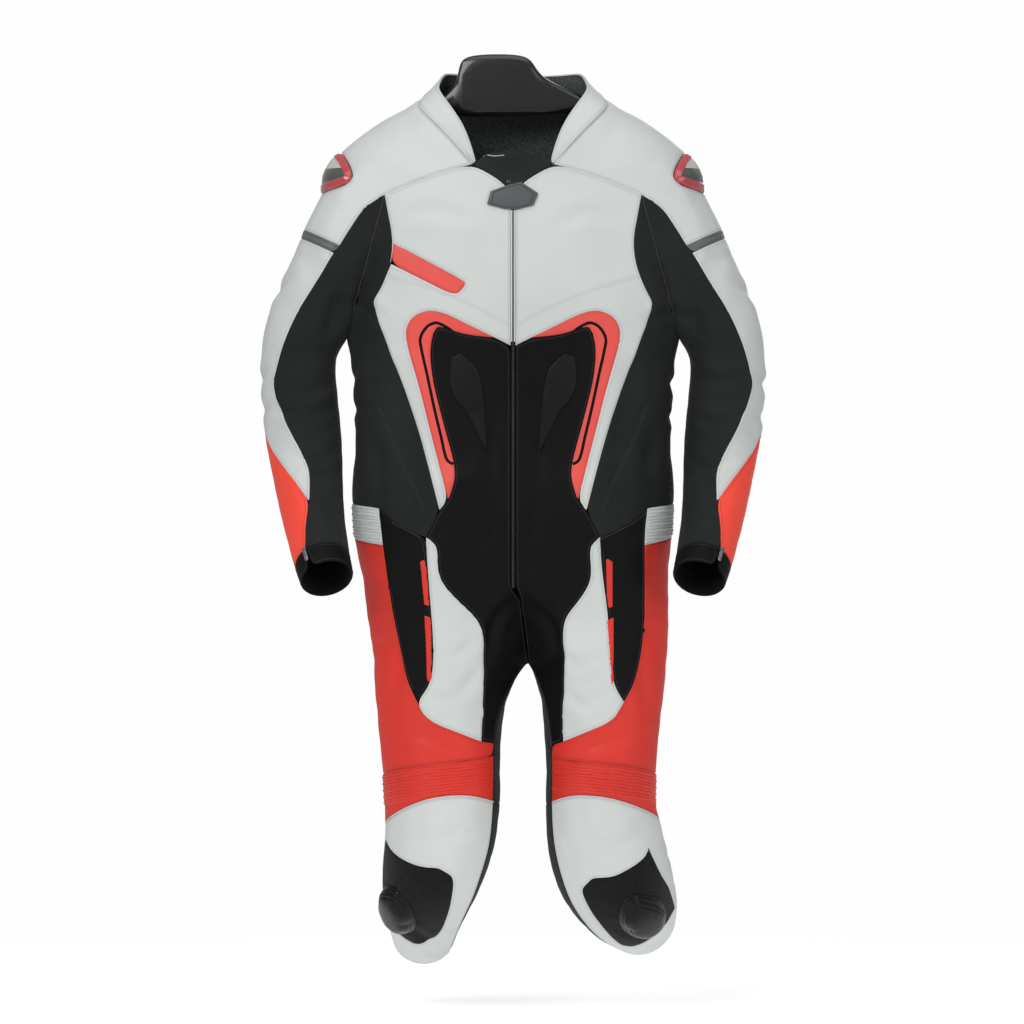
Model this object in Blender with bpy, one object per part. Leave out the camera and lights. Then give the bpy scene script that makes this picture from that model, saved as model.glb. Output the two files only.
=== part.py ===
"""One-piece motorcycle race suit of leather, hanging on a wide moulded hanger.

Every cut piece of the suit is its own thin-walled solid.  A smooth figure-like form is
worked out from short tables of sections (trunk, arms, legs); the seams are drawn on that
form from short tables of points, and each piece is the patch of the form inside its seams,
given a wall.  All tables are in millimetres; the origin is the top of the hanger block,
+Z is up and the suit faces -Y.
"""
import math

import bpy
import numpy as np
from mathutils import Vector
from mathutils.bvhtree import BVHTree
from mathutils.geometry import delaunay_2d_cdt

MM = 0.001

# ---------------------------------------------------------------- driving dimensions (mm)
WALL = 2.0                 # leather and its lining together
SEAM_GAP = 0.3             # between the edges of neighbouring pieces
LATTICE = 40.0             # spacing of the points inside a piece
SEAM_STEP = 40.0           # longest straight stretch along a seam
SEAM_SAG = 1.0             # most that a straight stretch may leave the seam's curve
SOFT_JOIN = 18.0           # how softly sleeves grow out of the trunk
SOFT_HIP = 40.0            # how softly legs grow out of the trunk
SOFT_CROTCH = 34.0         # how softly the legs meet each other
ZIP_SLOT = 3.5             # half width of the slot that shows the front zip
ACCORDION_RIBS = 12
ACCORDION_RISE = 3.0
HIP_RIBS = 8
HIP_RIB_RISE = 1.8

# trunk sections: height, half width, depth to the front, depth to the back, squareness
TRUNK = [
    # z,    half,  front, back, power
    (-22,    84,    44,    50,  2.2),
    (-46,   108,    58,    62,  2.2),
    (-61,   127,    66,    70,  2.2),
    (-70,   138,    70,    74,  2.2),
    (-90,   177,    78,    82,  2.2),
    (-111,  219,    86,    90,  2.2),
    (-126,  242,    91,    95,  2.3),
    (-151,  256,    97,   101,  2.3),
    (-200,  262,   106,   106,  2.4),
    (-300,  262,   116,   108,  2.4),
    (-380,  257,   116,   104,  2.4),
    (-411,  249,   113,   100,  2.4),
    (-450,  241,   108,    95,  2.4),
    (-514,  236,   104,    92,  2.4),
    (-600,  234,   104,    96,  2.4),
    (-665,  230,   104,   102,  2.4),
    (-740,  220,   100,   102,  2.3),
    (-790,  196,    84,    86,  2.2),
]
# sleeve on the wearer's right: centre, half width across, half depth front to back.
# The first rows only guide the shoulder seams; the sleeve itself starts at SLEEVE_FROM.
SLEEVE_FROM = 2
SLEEVE = [
    # x,     y,    z,   across, deep
    (-56,    0,  -118,   60,    80),
    (-110,   0,  -138,   60,    80),
    (-162,   0,  -166,   58,    82),
    (-208,   0,  -206,   60,    84),
    (-240,   0,  -258,   62,    82),
    (-266,   0,  -312,   60,    78),
    (-292,   0,  -364,   57,    75),
    (-316,   0,  -418,   55,    72),
    (-318,   2,  -475,   57,    69),
    (-313,   2,  -530,   57,    67),
    (-308,  -6,  -580,   57,    64),
    (-302, -30,  -634,   52,    59),
    (-294, -66,  -688,   47,    53),
    (-284, -102, -735,   43,    47),
    (-271, -138, -781,   40,    43),
]
# legs: centre, half width across, half depth.  The lower leg bends backwards.
LEG_RIGHT = [
    # x,      y,    z,   across, deep
    (-112,    0,  -640,  114,   100),
    (-112,    0,  -700,  114,   100),
    (-110,    0,  -760,  113,   100),
    (-103,    0,  -820,  116,    98),
    (-99,     0,  -880,  112,    94),
    (-105,    0,  -940,  103,    90),
    (-108,    0, -1000,   93,    87),
    (-105,   -2, -1060,   88,    85),
    (-104,   -6, -1110,   85,    85),
    (-107,   -2, -1155,   83,    84),
    (-117,   22, -1204,   77,    78),
    (-127,   72, -1246,   68,    68),
    (-133,  130, -1284,   57,    57),
    (-135,  190, -1320,   46,    46),
]
LEG_LEFT = [
    # x,      y,    z,   across, deep
    (112,     0,  -640,  114,   100),
    (112,     0,  -700,  114,   100),
    (114,     0,  -760,  115,   100),
    (121,     0,  -820,  113,    98),
    (128,     0,  -880,  104,    94),
    (131,     0,  -940,   95,    90),
    (131,     0, -1000,   87,    87),
    (130,    -2, -1060,   82,    85),
    (128,    -6, -1110,   80,    85),
    (134,    -2, -1155,   86,    84),
    (148,    22, -1206,   88,    80),
    (166,    74, -1246,   80,    72),
    (182,   134, -1274,   68,    62),
    (192,   196, -1298,   52,    50),
]

# the neck seam, by the direction in which it is seen from above (0 front, 180 back)
NECK = [
    # direction, height of the seam, collar's lean inwards, collar's rise
    (31,  -168,   6,   4),
    (40,  -146,  20,  16),
    (54,  -113,  30,  21),
    (74,   -80,  30,  25),
    (95,   -61,  25,  29),
    (135,  -66,  15,  35),
    (180,  -72,   8,  40),
]
NECK_SHOULDER = 118.0      # direction in which the yoke's seam meets the neck
COLLAR_WALL = 2.6
COLLAR_ROWS = 3
COLLAR_BOW = 1.5

# seams of the trunk, as seen from the front: x, z on the wearer's right
NECK_V = [(-3, -203), (-12, -197), (-33, -184), (-58, -168)]
YOKE = [(-58, -168), (-112, -182), (-189, -212)]
YOKE_TO_BAND = [(-189, -212), (-221, -234), (-240, -262), (-255, -287)]
CHEST_SIDE = [(-189, -212), (-184, -240), (-177, -280), (-180, -311), (-192, -346),
              (-204, -372), (-186, -431), (-158, -505), (-135, -573), (-108, -676)]
STRIP_END = [(-108, -676), (-95, -662)]
BRACKET_OUTER = [(-27, -423), (-67, -404), (-101, -387), (-124, -383), (-148, -393),
                 (-158, -412), (-155, -436), (-139, -491), (-121, -562), (-95, -662)]
BRACKET_INNER = [(-27, -423), (-66, -420), (-92, -412), (-110, -407), (-121, -430),
                 (-121, -468), (-101, -554), (-87, -607), (-86, -632), (-95, -662)]
V_POINT = [(-27, -423), (0, -435)]
HIP_JOIN = [(-108, -676), (-128, -716)]
HIP_SEAM = [(-128, -716), (-152, -705), (-176, -692), (-198, -673)]
BACK_YOKE = [(-104, -104), (-140, -150), (-189, -212)]
BACK_SIDE = [(-189, -212), (-178, -280), (-182, -340), (-190, -400)]
BACK_SIDE_LOW = [(-190, -400), (-178, -480), (-172, -560), (-176, -640), (-184, -676)]
WAIST_SEAM = [(-190, -400), (-100, -424), (0, -432)]
SEAT_SEAM = [(-184, -676), (-100, -700), (0, -712)]
CROTCH_CENTRE = (10.0, -800.0)
CROTCH_LEAN = (13.0, -105.0)
CROTCH_SWEEP = 84.0        # degrees either side of the lean that the centre seam covers

# bar on the chest and the raised pads beside the zip, as closed outlines
CHEST_BAR = [(-176, -284), (-67, -343), (-84, -363), (-179, -315)]
ABDOMEN_PAD = [(-90, -451), (-76, -446), (-50, -468), (-44, -505), (-38, -591),
               (-53, -562), (-67, -530), (-87, -512), (-95, -485)]

# seams of the sleeve, as seen from the front
BAND_END = [(-255, -287), (-264, -298)]
SLEEVE_EDGE = [(-264, -298), (-295, -349), (-323, -395), (-348, -463), (-353, -494),
               (-330, -558), (-314, -586), (-302, -610), (-298, -632), (-299, -663)]
# places round the sleeve: distance along it, direction (0 front, 90 outside, 180 back)
SLEEVE_RED_OUTSIDE = 556.0
SLEEVE_RED_HALFWAY = 612.0
FOREARM_FRONT = (720, 4)   # a point on the front seam between the red and the stretch
FOREARM_BACK = (720, 176)
CUFF_BACK_TURN = 172.0
CUFF_SEAM = 786.0
CUFF_END = 819.0
CUFF_ZIP_TURN = 25.0
CUFF_SLIT_HALF = 2.4       # degrees round the cuff
ARMHOLE_CENTRE = (-219.5, -325.0)

# seams of the leg, as seen from the front on the wearer's right leg
RIB_FRONT = [(-198, -673), (-195, -700), (-192, -728)]
WHITE_TOP = [(-128, -716), (-110, -727)]
WHITE_INNER = [(-110, -727), (-111, -759), (-103, -784), (-80, -810), (-55, -833),
               (-44, -858), (-43, -907), (-44, -975), (-46, -1017)]
WHITE_OUTER = [(-128, -716), (-126, -755), (-121, -818), (-117, -900), (-124, -934),
               (-141, -958)]
RED_INNER = [(-192, -728), (-182, -799), (-167, -878), (-156, -928), (-141, -958)]
RED_TOP = [(-141, -958), (-132, -976), (-116, -989), (-84, -1002), (-46, -1017)]
# places round the leg: distance down it, direction (0 front, 90 outside, -90 inside)
INSEAM_TURN = -62.0
OUTSEAM_TURN = 118.0
RED_INNER_END = 387.0
INSEAM_BOW = (320, -68)    # where the inseam bows inwards below the crotch
KNEE_BACK = (478, 180)
HIP_RIB_TOP = 22.0
HIP_RIB_BOTTOM = 68.0
# accordion above the knee: direction, distance of its top and of its bottom
ACCORDION = [
    # turn, top,  bottom
    (-62,   406,   468),
    (-20,   412,   462),
    (20,    416,   468),
    (60,    420,   490),
    (90,    424,   510),
    (118,   426,   512),
]
# hook-and-loop field of each knee, as runs from corner to corner
KNEE_PAD = {
    "r": [
        [(532, 76), (536.5, 68), (538.5, 54), (539, 27), (537, 4.5), (534.5, -4.4)],
        [(534.5, -4.4), (539, -13), (542, -21.3)],
        [(542, -21.3), (552, -25.3), (569, -27.4), (595, -30), (635, -28), (666, -18.4),
         (682, -3.8), (689, 10.6), (684, 24), (680, 40), (674, 62)],
        [(674, 62), (640, 72), (600, 78), (560, 80), (532, 76)],
    ],
    "l": [
        [(532, 45), (540, 37.8), (543.4, 26.6), (545.6, 12.2), (547.6, -2.5), (545.9, -14.7),
         (544.5, -24)],
        [(544.5, -24), (549.6, -29), (557, -41)],
        [(557, -41), (580, -40.5), (613, -39.7), (639, -39.6), (677, -39), (691, -29)],
        [(691, -29), (686, -13), (681, 2), (677, 24), (680, 49)],
        [(680, 49), (640, 52), (600, 52), (566, 49), (532, 45)],
    ],
}
PUCK_CENTRE = {"r": (622.0, 34.0), "l": (619.0, 8.0)}
PUCK_SIZE = (46.0, 35.0)
PUCK_RISE = 17.0
PUCK_SIDES = 18
SLIDER = [(167, 90), (168, 68), (171, 46), (176, 31), (182, 25.5), (189, 26), (198, 33),
          (207, 48), (214, 70), (218, 90), (214, 112), (207, 126), (198, 133), (189, 136),
          (181, 134), (173, 124), (168, 108)]
SLIDER_RISE = 14.0
TAB = [(-33, -209), (-9, -200), (12, -195), (37, -212), (30, -229), (9, -235), (-12, -235),
       (-38, -228)]
TAB_WALL = 3.0
FLAP_TOP = [(-36, -152), (0, -149), (36, -152)]
FLAP_DIP = 9.0
OVERLAY_GAP = 0.45         # under a piece that lies on another
ZIP_TEETH_RISE = 0.9
ZIP_TEETH_ROOM = 0.05      # each side, on top of the seam's gap
ZIP_TOP = -203.0
ZIP_COVERED = -240.0       # above this height the tab lies on the zip
ZIP_END = -790.0

# mean radius of each limb, for the flat maps that the pieces are laid out on
ARM_RADIUS = 65.0
CUFF_RADIUS = 42.0
THIGH_RADIUS = 95.0
SHIN_RADIUS = 75.0

# hanger: a tall centre block and two arms, as sections along x
BLOCK_X = -20.0
HANGER_BLOCK = [
    # x from the block's middle, top, bottom, half depth
    (-64, -44, -92, 20),
    (-60, -20, -94, 22),
    (-54,  -2, -95, 23),
    (0,     0, -96, 24),
    (44,   -2, -95, 23),
    (54,  -22, -94, 22),
    (66,  -36, -94, 21),
    (84,  -46, -92, 20),
]
HANGER_ARM = [
    # distance out from the middle, half height, half depth
    (104, 15, 20),
    (150, 14, 22),
    (190, 14, 24),
    (214, 11, 20),
    (222,  5, 10),
]
HANGER_ARM_Z = -104.0      # the arms' middle where they leave the block, before they are seated
HANGER_SLOPE = 0.46
HANGER_SEAT_GAP = 0.4      # left between the arms and the cloth on them
HANGER_SIDES = 16

# cuff zips: slider body (half width, ear, base, height), its length, axis height above its
# foot, and the pull tab (half width at the axis, half width, length) and thickness
PULL_BODY = (3.5, 1.4, 0.9, 3.4)
PULL_BODY_LENGTH = 5.0
PULL_AXIS = 2.4
PULL_TAB = (1.8, 3.0, 22.0)
PULL_THICK = 1.4
PULL_HEAD = 0.7            # of the tab, above its axis
PULL_NECK = (3.4, 5.6)     # where the tab starts and ends widening
PULL_CORNER = (1.4, 2.0)   # cut off its lower corners

# colour, roughness, metallic
FINISHES = {
    "leather_white": ((0.68, 0.71, 0.70), 0.55, 0.0),
    "leather_red": ((0.80, 0.07, 0.04), 0.5, 0.0),
    "leather_black": ((0.016, 0.018, 0.018), 0.5, 0.0),
    "stretch_black": ((0.012, 0.013, 0.014), 0.9, 0.0),
    "band_grey": ((0.11, 0.12, 0.13), 0.5, 0.0),
    "slider_red": ((0.45, 0.03, 0.03), 0.15, 0.0),
    "puck_black": ((0.01, 0.01, 0.011), 0.12, 0.0),
    "hanger_black": ((0.01, 0.01, 0.011), 0.2, 0.0),
    "zip_metal": ((0.4, 0.4, 0.42), 0.35, 1.0),
}


# ---------------------------------------------------------------- curves
def spline(points, step=3.0):
    """A smooth curve through the points (any dimension), sampled about every step."""
    pts = np.asarray(points, float)
    if len(pts) == 2:
        count = max(2, int(np.linalg.norm(pts[1] - pts[0]) / step) + 1)
        return np.linspace(pts[0], pts[1], count)
    ends = np.vstack([2 * pts[0] - pts[1], pts, 2 * pts[-1] - pts[-2]])
    out = []
    for i in range(1, len(ends) - 2):
        p0, p1, p2, p3 = ends[i - 1:i + 3]
        k0, k1, k2 = (max(np.linalg.norm(b - a), 1e-6) ** 0.5
                      for a, b in ((p0, p1), (p1, p2), (p2, p3)))
        m1 = (p1 - p0) / k0 - (p2 - p0) / (k0 + k1) + (p2 - p1) / k1
        m2 = (p2 - p1) / k1 - (p3 - p1) / (k1 + k2) + (p3 - p2) / k2
        count = max(2, int(np.linalg.norm(p2 - p1) / step) + 1)
        t = np.linspace(0, 1, count, endpoint=False)[:, None]
        a, b = m1 * k1, m2 * k1
        out.append((2 * t**3 - 3 * t**2 + 1) * p1 + (t**3 - 2 * t**2 + t) * a
                   + (-2 * t**3 + 3 * t**2) * p2 + (t**3 - t**2) * b)
    out.append(pts[-1:])
    return np.vstack(out)


def thin_out(curve, sag=SEAM_SAG, step=SEAM_STEP):
    """The fewest points of a dense curve that keep its shape, ends always kept."""
    keep = {0, len(curve) - 1}
    stack = [(0, len(curve) - 1)]
    while stack:
        lo, hi = stack.pop()
        if hi - lo < 2:
            continue
        run = curve[hi] - curve[lo]
        length = np.linalg.norm(run)
        rel = curve[lo + 1:hi] - curve[lo]
        along = np.clip(rel @ run / max(length * length, 1e-9), 0, 1)
        away = np.linalg.norm(rel - along[:, None] * run, axis=1)
        worst = int(np.argmax(away))
        if away[worst] > sag:
            cut = lo + 1 + worst
        elif length > step:
            cut = (lo + hi) // 2
        else:
            continue
        keep.add(cut)
        stack += [(lo, cut), (cut, hi)]
    return curve[sorted(keep)]


# ---------------------------------------------------------------- tubes
class Tube:
    """A limb: sections along a curved centre line."""

    def __init__(self, rows, side, step=9.0):
        table = spline(rows, step)
        self.side = side
        self.centre = table[:, :3]
        self.across = table[:, 3]
        self.deep = table[:, 4]
        run = np.gradient(self.centre, axis=0)
        self.along = run / np.linalg.norm(run, axis=1)[:, None]
        front = np.array([0.0, -1.0, 0.0])
        flat = front - (self.along @ front)[:, None] * self.along
        self.front = flat / np.linalg.norm(flat, axis=1)[:, None]
        self.out = np.cross(self.front, self.along) * side
        steps = np.linalg.norm(np.diff(self.centre, axis=0), axis=1)
        self.dist = np.concatenate([[0.0], np.cumsum(steps)])
        self.bend = np.gradient(self.along, self.dist, axis=0)

    def locate(self, pts):
        """Distance down the tube, and offsets outwards and to the front, of each point."""
        gap = ((pts[:, None, :] - self.centre[None]) ** 2).sum(axis=2)
        down = self.dist[np.argmin(gap, axis=1)]
        for _ in range(3):
            rel = pts - self.mix(self.centre, down)
            ahead = np.einsum("ij,ij->i", rel, self.mix(self.along, down))
            fan = 1 - np.einsum("ij,ij->i", rel, self.mix(self.bend, down))
            down = np.clip(down + ahead / np.clip(fan, 0.3, 3.0), 0.0, self.dist[-1])
        c, o, f = self.frame(down)
        rel = pts - c
        over = np.einsum("ij,ij->i", rel, self.mix(self.along, down))
        ends = (down <= 0.0) | (down >= self.dist[-1])
        down = np.where(ends, down + over, down)
        return down, np.einsum("ij,ij->i", rel, o), np.einsum("ij,ij->i", rel, f)

    def mix(self, values, down):
        cols = [np.interp(down, self.dist, values[:, i]) for i in range(3)]
        return np.stack(cols, axis=1)

    def frame(self, down):
        return self.mix(self.centre, down), self.mix(self.out, down), self.mix(self.front, down)

    def field(self, pts):
        down, x, y = self.locate(pts)
        a = np.interp(down, self.dist, self.across)
        b = np.interp(down, self.dist, self.deep)
        r = np.sqrt((x / a) ** 2 + (y / b) ** 2) + 1e-9
        d = np.hypot(x, y) * (1 - 1 / r)
        past = np.maximum(-down, down - self.dist[-1])
        return np.where(past > 0, np.maximum(d, past), d)

    def flat(self, pts):
        """Points of the form as (distance round, distance down)."""
        down, x, y = self.locate(pts)
        return np.stack([np.arctan2(x, y), down], axis=1)

    def ray(self, turn, down):
        c, o, f = self.frame(down)
        aim = o * np.sin(turn)[:, None] + f * np.cos(turn)[:, None]
        return c, aim


class Trunk:
    def __init__(self, rows):
        self.table = spline(rows, 6.0)[::-1]

    def field(self, pts):
        z = pts[:, 2]
        t = self.table
        a = np.interp(z, t[:, 0], t[:, 1])
        b = np.where(pts[:, 1] < 0, np.interp(z, t[:, 0], t[:, 2]), np.interp(z, t[:, 0], t[:, 3]))
        n = np.interp(z, t[:, 0], t[:, 4])
        r = (np.abs(pts[:, 0] / a) ** n + np.abs(pts[:, 1] / b) ** n) ** (1 / n) + 1e-9
        d = np.hypot(pts[:, 0], pts[:, 1]) * (1 - 1 / r)
        past = np.maximum(t[0, 0] - z, z - t[-1, 0])
        return np.where(past > 0, np.maximum(d, past), d)


def soft_min(a, b, soft):
    h = np.clip(0.5 + 0.5 * (b - a) / soft, 0, 1)
    return b + (a - b) * h - soft * h * (1 - h)


TRUNK_FORM = Trunk(TRUNK)
MIRROR_SLEEVE = [(-x, y, z, a, b) for x, y, z, a, b in SLEEVE]
ARM_GUIDE = Tube(SLEEVE, -1)
ARM_FORM = [Tube(SLEEVE[SLEEVE_FROM:], -1), Tube(MIRROR_SLEEVE[SLEEVE_FROM:], 1)]
LEG_FORM = {"r": Tube(LEG_RIGHT, -1), "l": Tube(LEG_LEFT, 1)}


def form(pts):
    """Below 0 inside the figure-like form, above 0 outside it."""
    body = TRUNK_FORM.field(pts)
    legs = soft_min(LEG_FORM["r"].field(pts), LEG_FORM["l"].field(pts), SOFT_CROTCH)
    body = soft_min(body, legs, SOFT_HIP)
    for arm in ARM_FORM:
        body = soft_min(body, arm.field(pts), SOFT_JOIN)
    return body


def cast(start, aim, reach=420.0, step=6.0, leaving=True):
    """Where each ray first crosses the form's surface."""
    start = np.asarray(start, float)
    aim = aim / np.linalg.norm(aim, axis=1)[:, None]
    t = np.arange(0, reach, step)
    grid = start[:, None, :] + t[None, :, None] * aim[:, None, :]
    values = form(grid.reshape(-1, 3)).reshape(len(start), -1)
    inside = values < 0
    hit = (inside[:, :-1] & ~inside[:, 1:]) if leaving else (~inside[:, :-1] & inside[:, 1:])
    if not hit.any(axis=1).all():
        lost = start[~hit.any(axis=1)][0]
        raise ValueError("a ray from %s misses the form" % np.round(lost, 1))
    k = np.argmax(hit, axis=1)
    lo, hi = t[k], t[k + 1]
    for _ in range(14):
        mid = 0.5 * (lo + hi)
        out = form(start + mid[:, None] * aim) >= 0
        go_hi = out if leaving else ~out
        hi = np.where(go_hi, mid, hi)
        lo = np.where(go_hi, lo, mid)
    return start + hi[:, None] * aim


def normals(pts, step=0.8):
    g = np.zeros_like(pts)
    for axis in range(3):
        d = np.zeros(3)
        d[axis] = step
        g[:, axis] = form(pts + d) - form(pts - d)
    return g / np.linalg.norm(g, axis=1)[:, None]


def from_front(xz, back=False):
    xz = np.asarray(xz, float)
    side = 1.0 if back else -1.0
    start = np.stack([xz[:, 0], np.full(len(xz), side * 300.0), xz[:, 1]], axis=1)
    aim = np.tile([0.0, -side, 0.0], (len(xz), 1))
    return cast(start, aim, reach=600.0, leaving=False)


# ---------------------------------------------------------------- charts
class FaceChart:
    """Flat map of the form seen straight from the front or the back."""

    def __init__(self, back=False):
        self.back = back

    def flat(self, pts):
        u = -pts[:, 0] if self.back else pts[:, 0]
        return np.stack([u, pts[:, 2]], axis=1)

    def solid(self, uv):
        x = -uv[:, 0] if self.back else uv[:, 0]
        return from_front(np.stack([x, uv[:, 1]], axis=1), self.back)


class TrunkChart:
    """Flat map round the trunk's side on the wearer's right."""
    HALF, DEEP = 240.0, 100.0

    def __init__(self):
        e = np.linspace(0, math.pi, 200)
        step = np.hypot(self.HALF * np.cos(e), self.DEEP * np.sin(e))
        self.turn = e
        self.run = np.concatenate([[0], np.cumsum(0.5 * (step[1:] + step[:-1]) * np.diff(e))])

    def flat(self, pts):
        e = np.arctan2(-pts[:, 0] / self.HALF, -pts[:, 1] / self.DEEP)
        return np.stack([-np.interp(e, self.turn, self.run), pts[:, 2]], axis=1)

    def solid(self, uv):
        e = np.interp(-uv[:, 0], self.run, self.turn)
        aim = np.stack([-self.HALF * np.sin(e), -self.DEEP * np.cos(e), 0 * e], axis=1)
        start = np.stack([0 * e, 0 * e, uv[:, 1]], axis=1)
        return cast(start, aim)


class TubeChart:
    """Flat map round a limb, cut open at the direction `cut`."""

    def __init__(self, tube, radius, cut):
        self.tube, self.radius, self.cut = tube, radius, cut

    def flat(self, pts):
        turn, down = self.tube.flat(pts).T
        turn = (turn - self.cut) % (2 * math.pi) + self.cut
        return np.stack([self.tube.side * turn * self.radius, -down], axis=1)

    def solid(self, uv):
        turn = self.tube.side * uv[:, 0] / self.radius
        return cast(*self.tube.ray(turn, -uv[:, 1]))


class UprightChart:
    """Flat map round a limb in level slices, cut open at the direction `cut`."""

    def __init__(self, rows, side, radius, cut):
        table = np.array([row[:3] for row in rows], float)[::-1]
        self.x, self.y, self.z = table.T
        self.side, self.radius, self.cut = side, radius, cut

    def middle(self, z):
        return np.interp(z, self.z, self.x), np.interp(z, self.z, self.y)

    def flat(self, pts):
        x, y = self.middle(pts[:, 2])
        turn = np.arctan2(self.side * (pts[:, 0] - x), y - pts[:, 1])
        turn = (turn - self.cut) % (2 * math.pi) + self.cut
        return np.stack([self.side * turn * self.radius, pts[:, 2]], axis=1)

    def solid(self, uv):
        turn = self.side * uv[:, 0] / self.radius
        x, y = self.middle(uv[:, 1])
        aim = np.stack([self.side * np.sin(turn), -np.cos(turn), 0 * turn], axis=1)
        return cast(np.stack([x, y, uv[:, 1]], axis=1), aim)


# ---------------------------------------------------------------- seams
def seam_front(points, back=False):
    return thin_out(from_front(spline(points), back))


def tube_points(tube, down, turn_degrees):
    return cast(*tube.ray(np.radians(turn_degrees), np.asarray(down, float)))


def join(*parts):
    """Seams joined end to end into one closed outline, without their doubled corners."""
    return np.vstack([part[:-1] for part in parts])


def rev(seam):
    return seam[::-1]


# ---------------------------------------------------------------- pieces
def material(name):
    found = bpy.data.materials.get(name)
    if found:
        return found
    colour, rough, metal = FINISHES[name]
    made = bpy.data.materials.new(name)
    made.use_nodes = True
    shader = made.node_tree.nodes["Principled BSDF"]
    shader.inputs["Base Color"].default_value = (*colour, 1.0)
    shader.inputs["Roughness"].default_value = rough
    shader.inputs["Metallic"].default_value = metal
    made.diffuse_color = (*colour, 1.0)
    return made


def add_object(name, verts, faces, finish, smooth=True):
    mesh = bpy.data.meshes.new(name)
    mesh.from_pydata([tuple(v) for v in np.asarray(verts) * MM], [], [tuple(f) for f in faces])
    mesh.update()
    mesh.materials.append(material(finish))
    if smooth:
        mesh.shade_smooth()
        mesh.set_sharp_from_angle(angle=math.radians(40))
    obj = bpy.data.objects.new(name, mesh)
    bpy.context.scene.collection.objects.link(obj)
    return obj


def inset_loop(loop, normal, gap):
    """A closed outline moved inwards along the surface; it runs anticlockwise."""
    ahead = np.roll(loop, -1, axis=0) - loop
    ahead /= np.linalg.norm(ahead, axis=1)[:, None]
    behind = np.roll(ahead, 1, axis=0)
    m1, m2 = np.cross(normal, behind), np.cross(normal, ahead)
    m1 /= np.linalg.norm(m1, axis=1)[:, None]
    m2 /= np.linalg.norm(m2, axis=1)[:, None]
    lean = np.maximum(1 + np.einsum("ij,ij->i", m1, m2), 0.25)
    return loop + gap * (m1 + m2) / lean[:, None]


def signed_area(uv):
    x, y = uv.T
    return 0.5 * np.sum(x * np.roll(y, -1) - np.roll(x, -1) * y)


def inside_loop(pts, loop):
    x, y = pts.T
    hit = np.zeros(len(pts), bool)
    x1, y1 = loop.T
    x2, y2 = np.roll(x1, -1), np.roll(y1, -1)
    for a, b, c, d in zip(x1, y1, x2, y2):
        cross = (b > y) != (d > y)
        hit ^= cross & (x < (c - a) * (y - b) / (d - b + 1e-12) + a)
    return hit


def edge_distance(pts, loop):
    best = np.full(len(pts), 1e9)
    for a, b in zip(loop, np.roll(loop, -1, axis=0)):
        run = b - a
        t = np.clip((pts - a) @ run / max(run @ run, 1e-9), 0, 1)
        best = np.minimum(best, np.linalg.norm(pts - a - t[:, None] * run, axis=1))
    return best


def lattice_points(outer, holes, spacing):
    lo, hi = outer.min(axis=0), outer.max(axis=0)
    rows = []
    high = spacing * 0.866
    for i, v in enumerate(np.arange(lo[1] + high / 2, hi[1], high)):
        u = np.arange(lo[0] + spacing * (0.25 + 0.5 * (i % 2)), hi[0], spacing)
        rows.append(np.stack([u, np.full(len(u), v)], axis=1))
    pts = np.vstack(rows) if rows else np.zeros((0, 2))
    keep = inside_loop(pts, outer) & (edge_distance(pts, outer) > 0.5 * spacing)
    for hole in holes:
        keep &= ~inside_loop(pts, hole) & (edge_distance(pts, hole) > 0.45 * spacing)
    return pts[keep]


def inner_triangles(faces, edges, flat, scaled, loops):
    """The triangles inside the outline and outside its holes, all anticlockwise."""
    bounds = set(edges)
    found, at_edge = {}, {}
    for ids in faces:
        a, b, c = scaled[ids]
        area = (b[0] - a[0]) * (c[1] - a[1]) - (b[1] - a[1]) * (c[0] - a[0])
        if area < 0:
            ids = ids[::-1]
        sides = {(ids[0], ids[1]), (ids[1], ids[2]), (ids[2], ids[0])}
        mid = flat[ids].mean(axis=0)[None]
        if sides & bounds:
            found[tuple(ids)] = abs(area)
            for side in sides & bounds:
                at_edge.setdefault(side, []).append(tuple(ids))
        elif not {(j, i) for i, j in sides} & bounds and inside_loop(mid, loops[0])[0]:
            if not any(inside_loop(mid, hole)[0] for hole in loops[1:]):
                found[tuple(ids)] = abs(area)
    for twins in at_edge.values():
        for sliver in sorted(twins, key=lambda ids: found.get(ids, 0.0))[:-1]:
            found.pop(sliver, None)
    return [list(ids) for ids in found]


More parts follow.
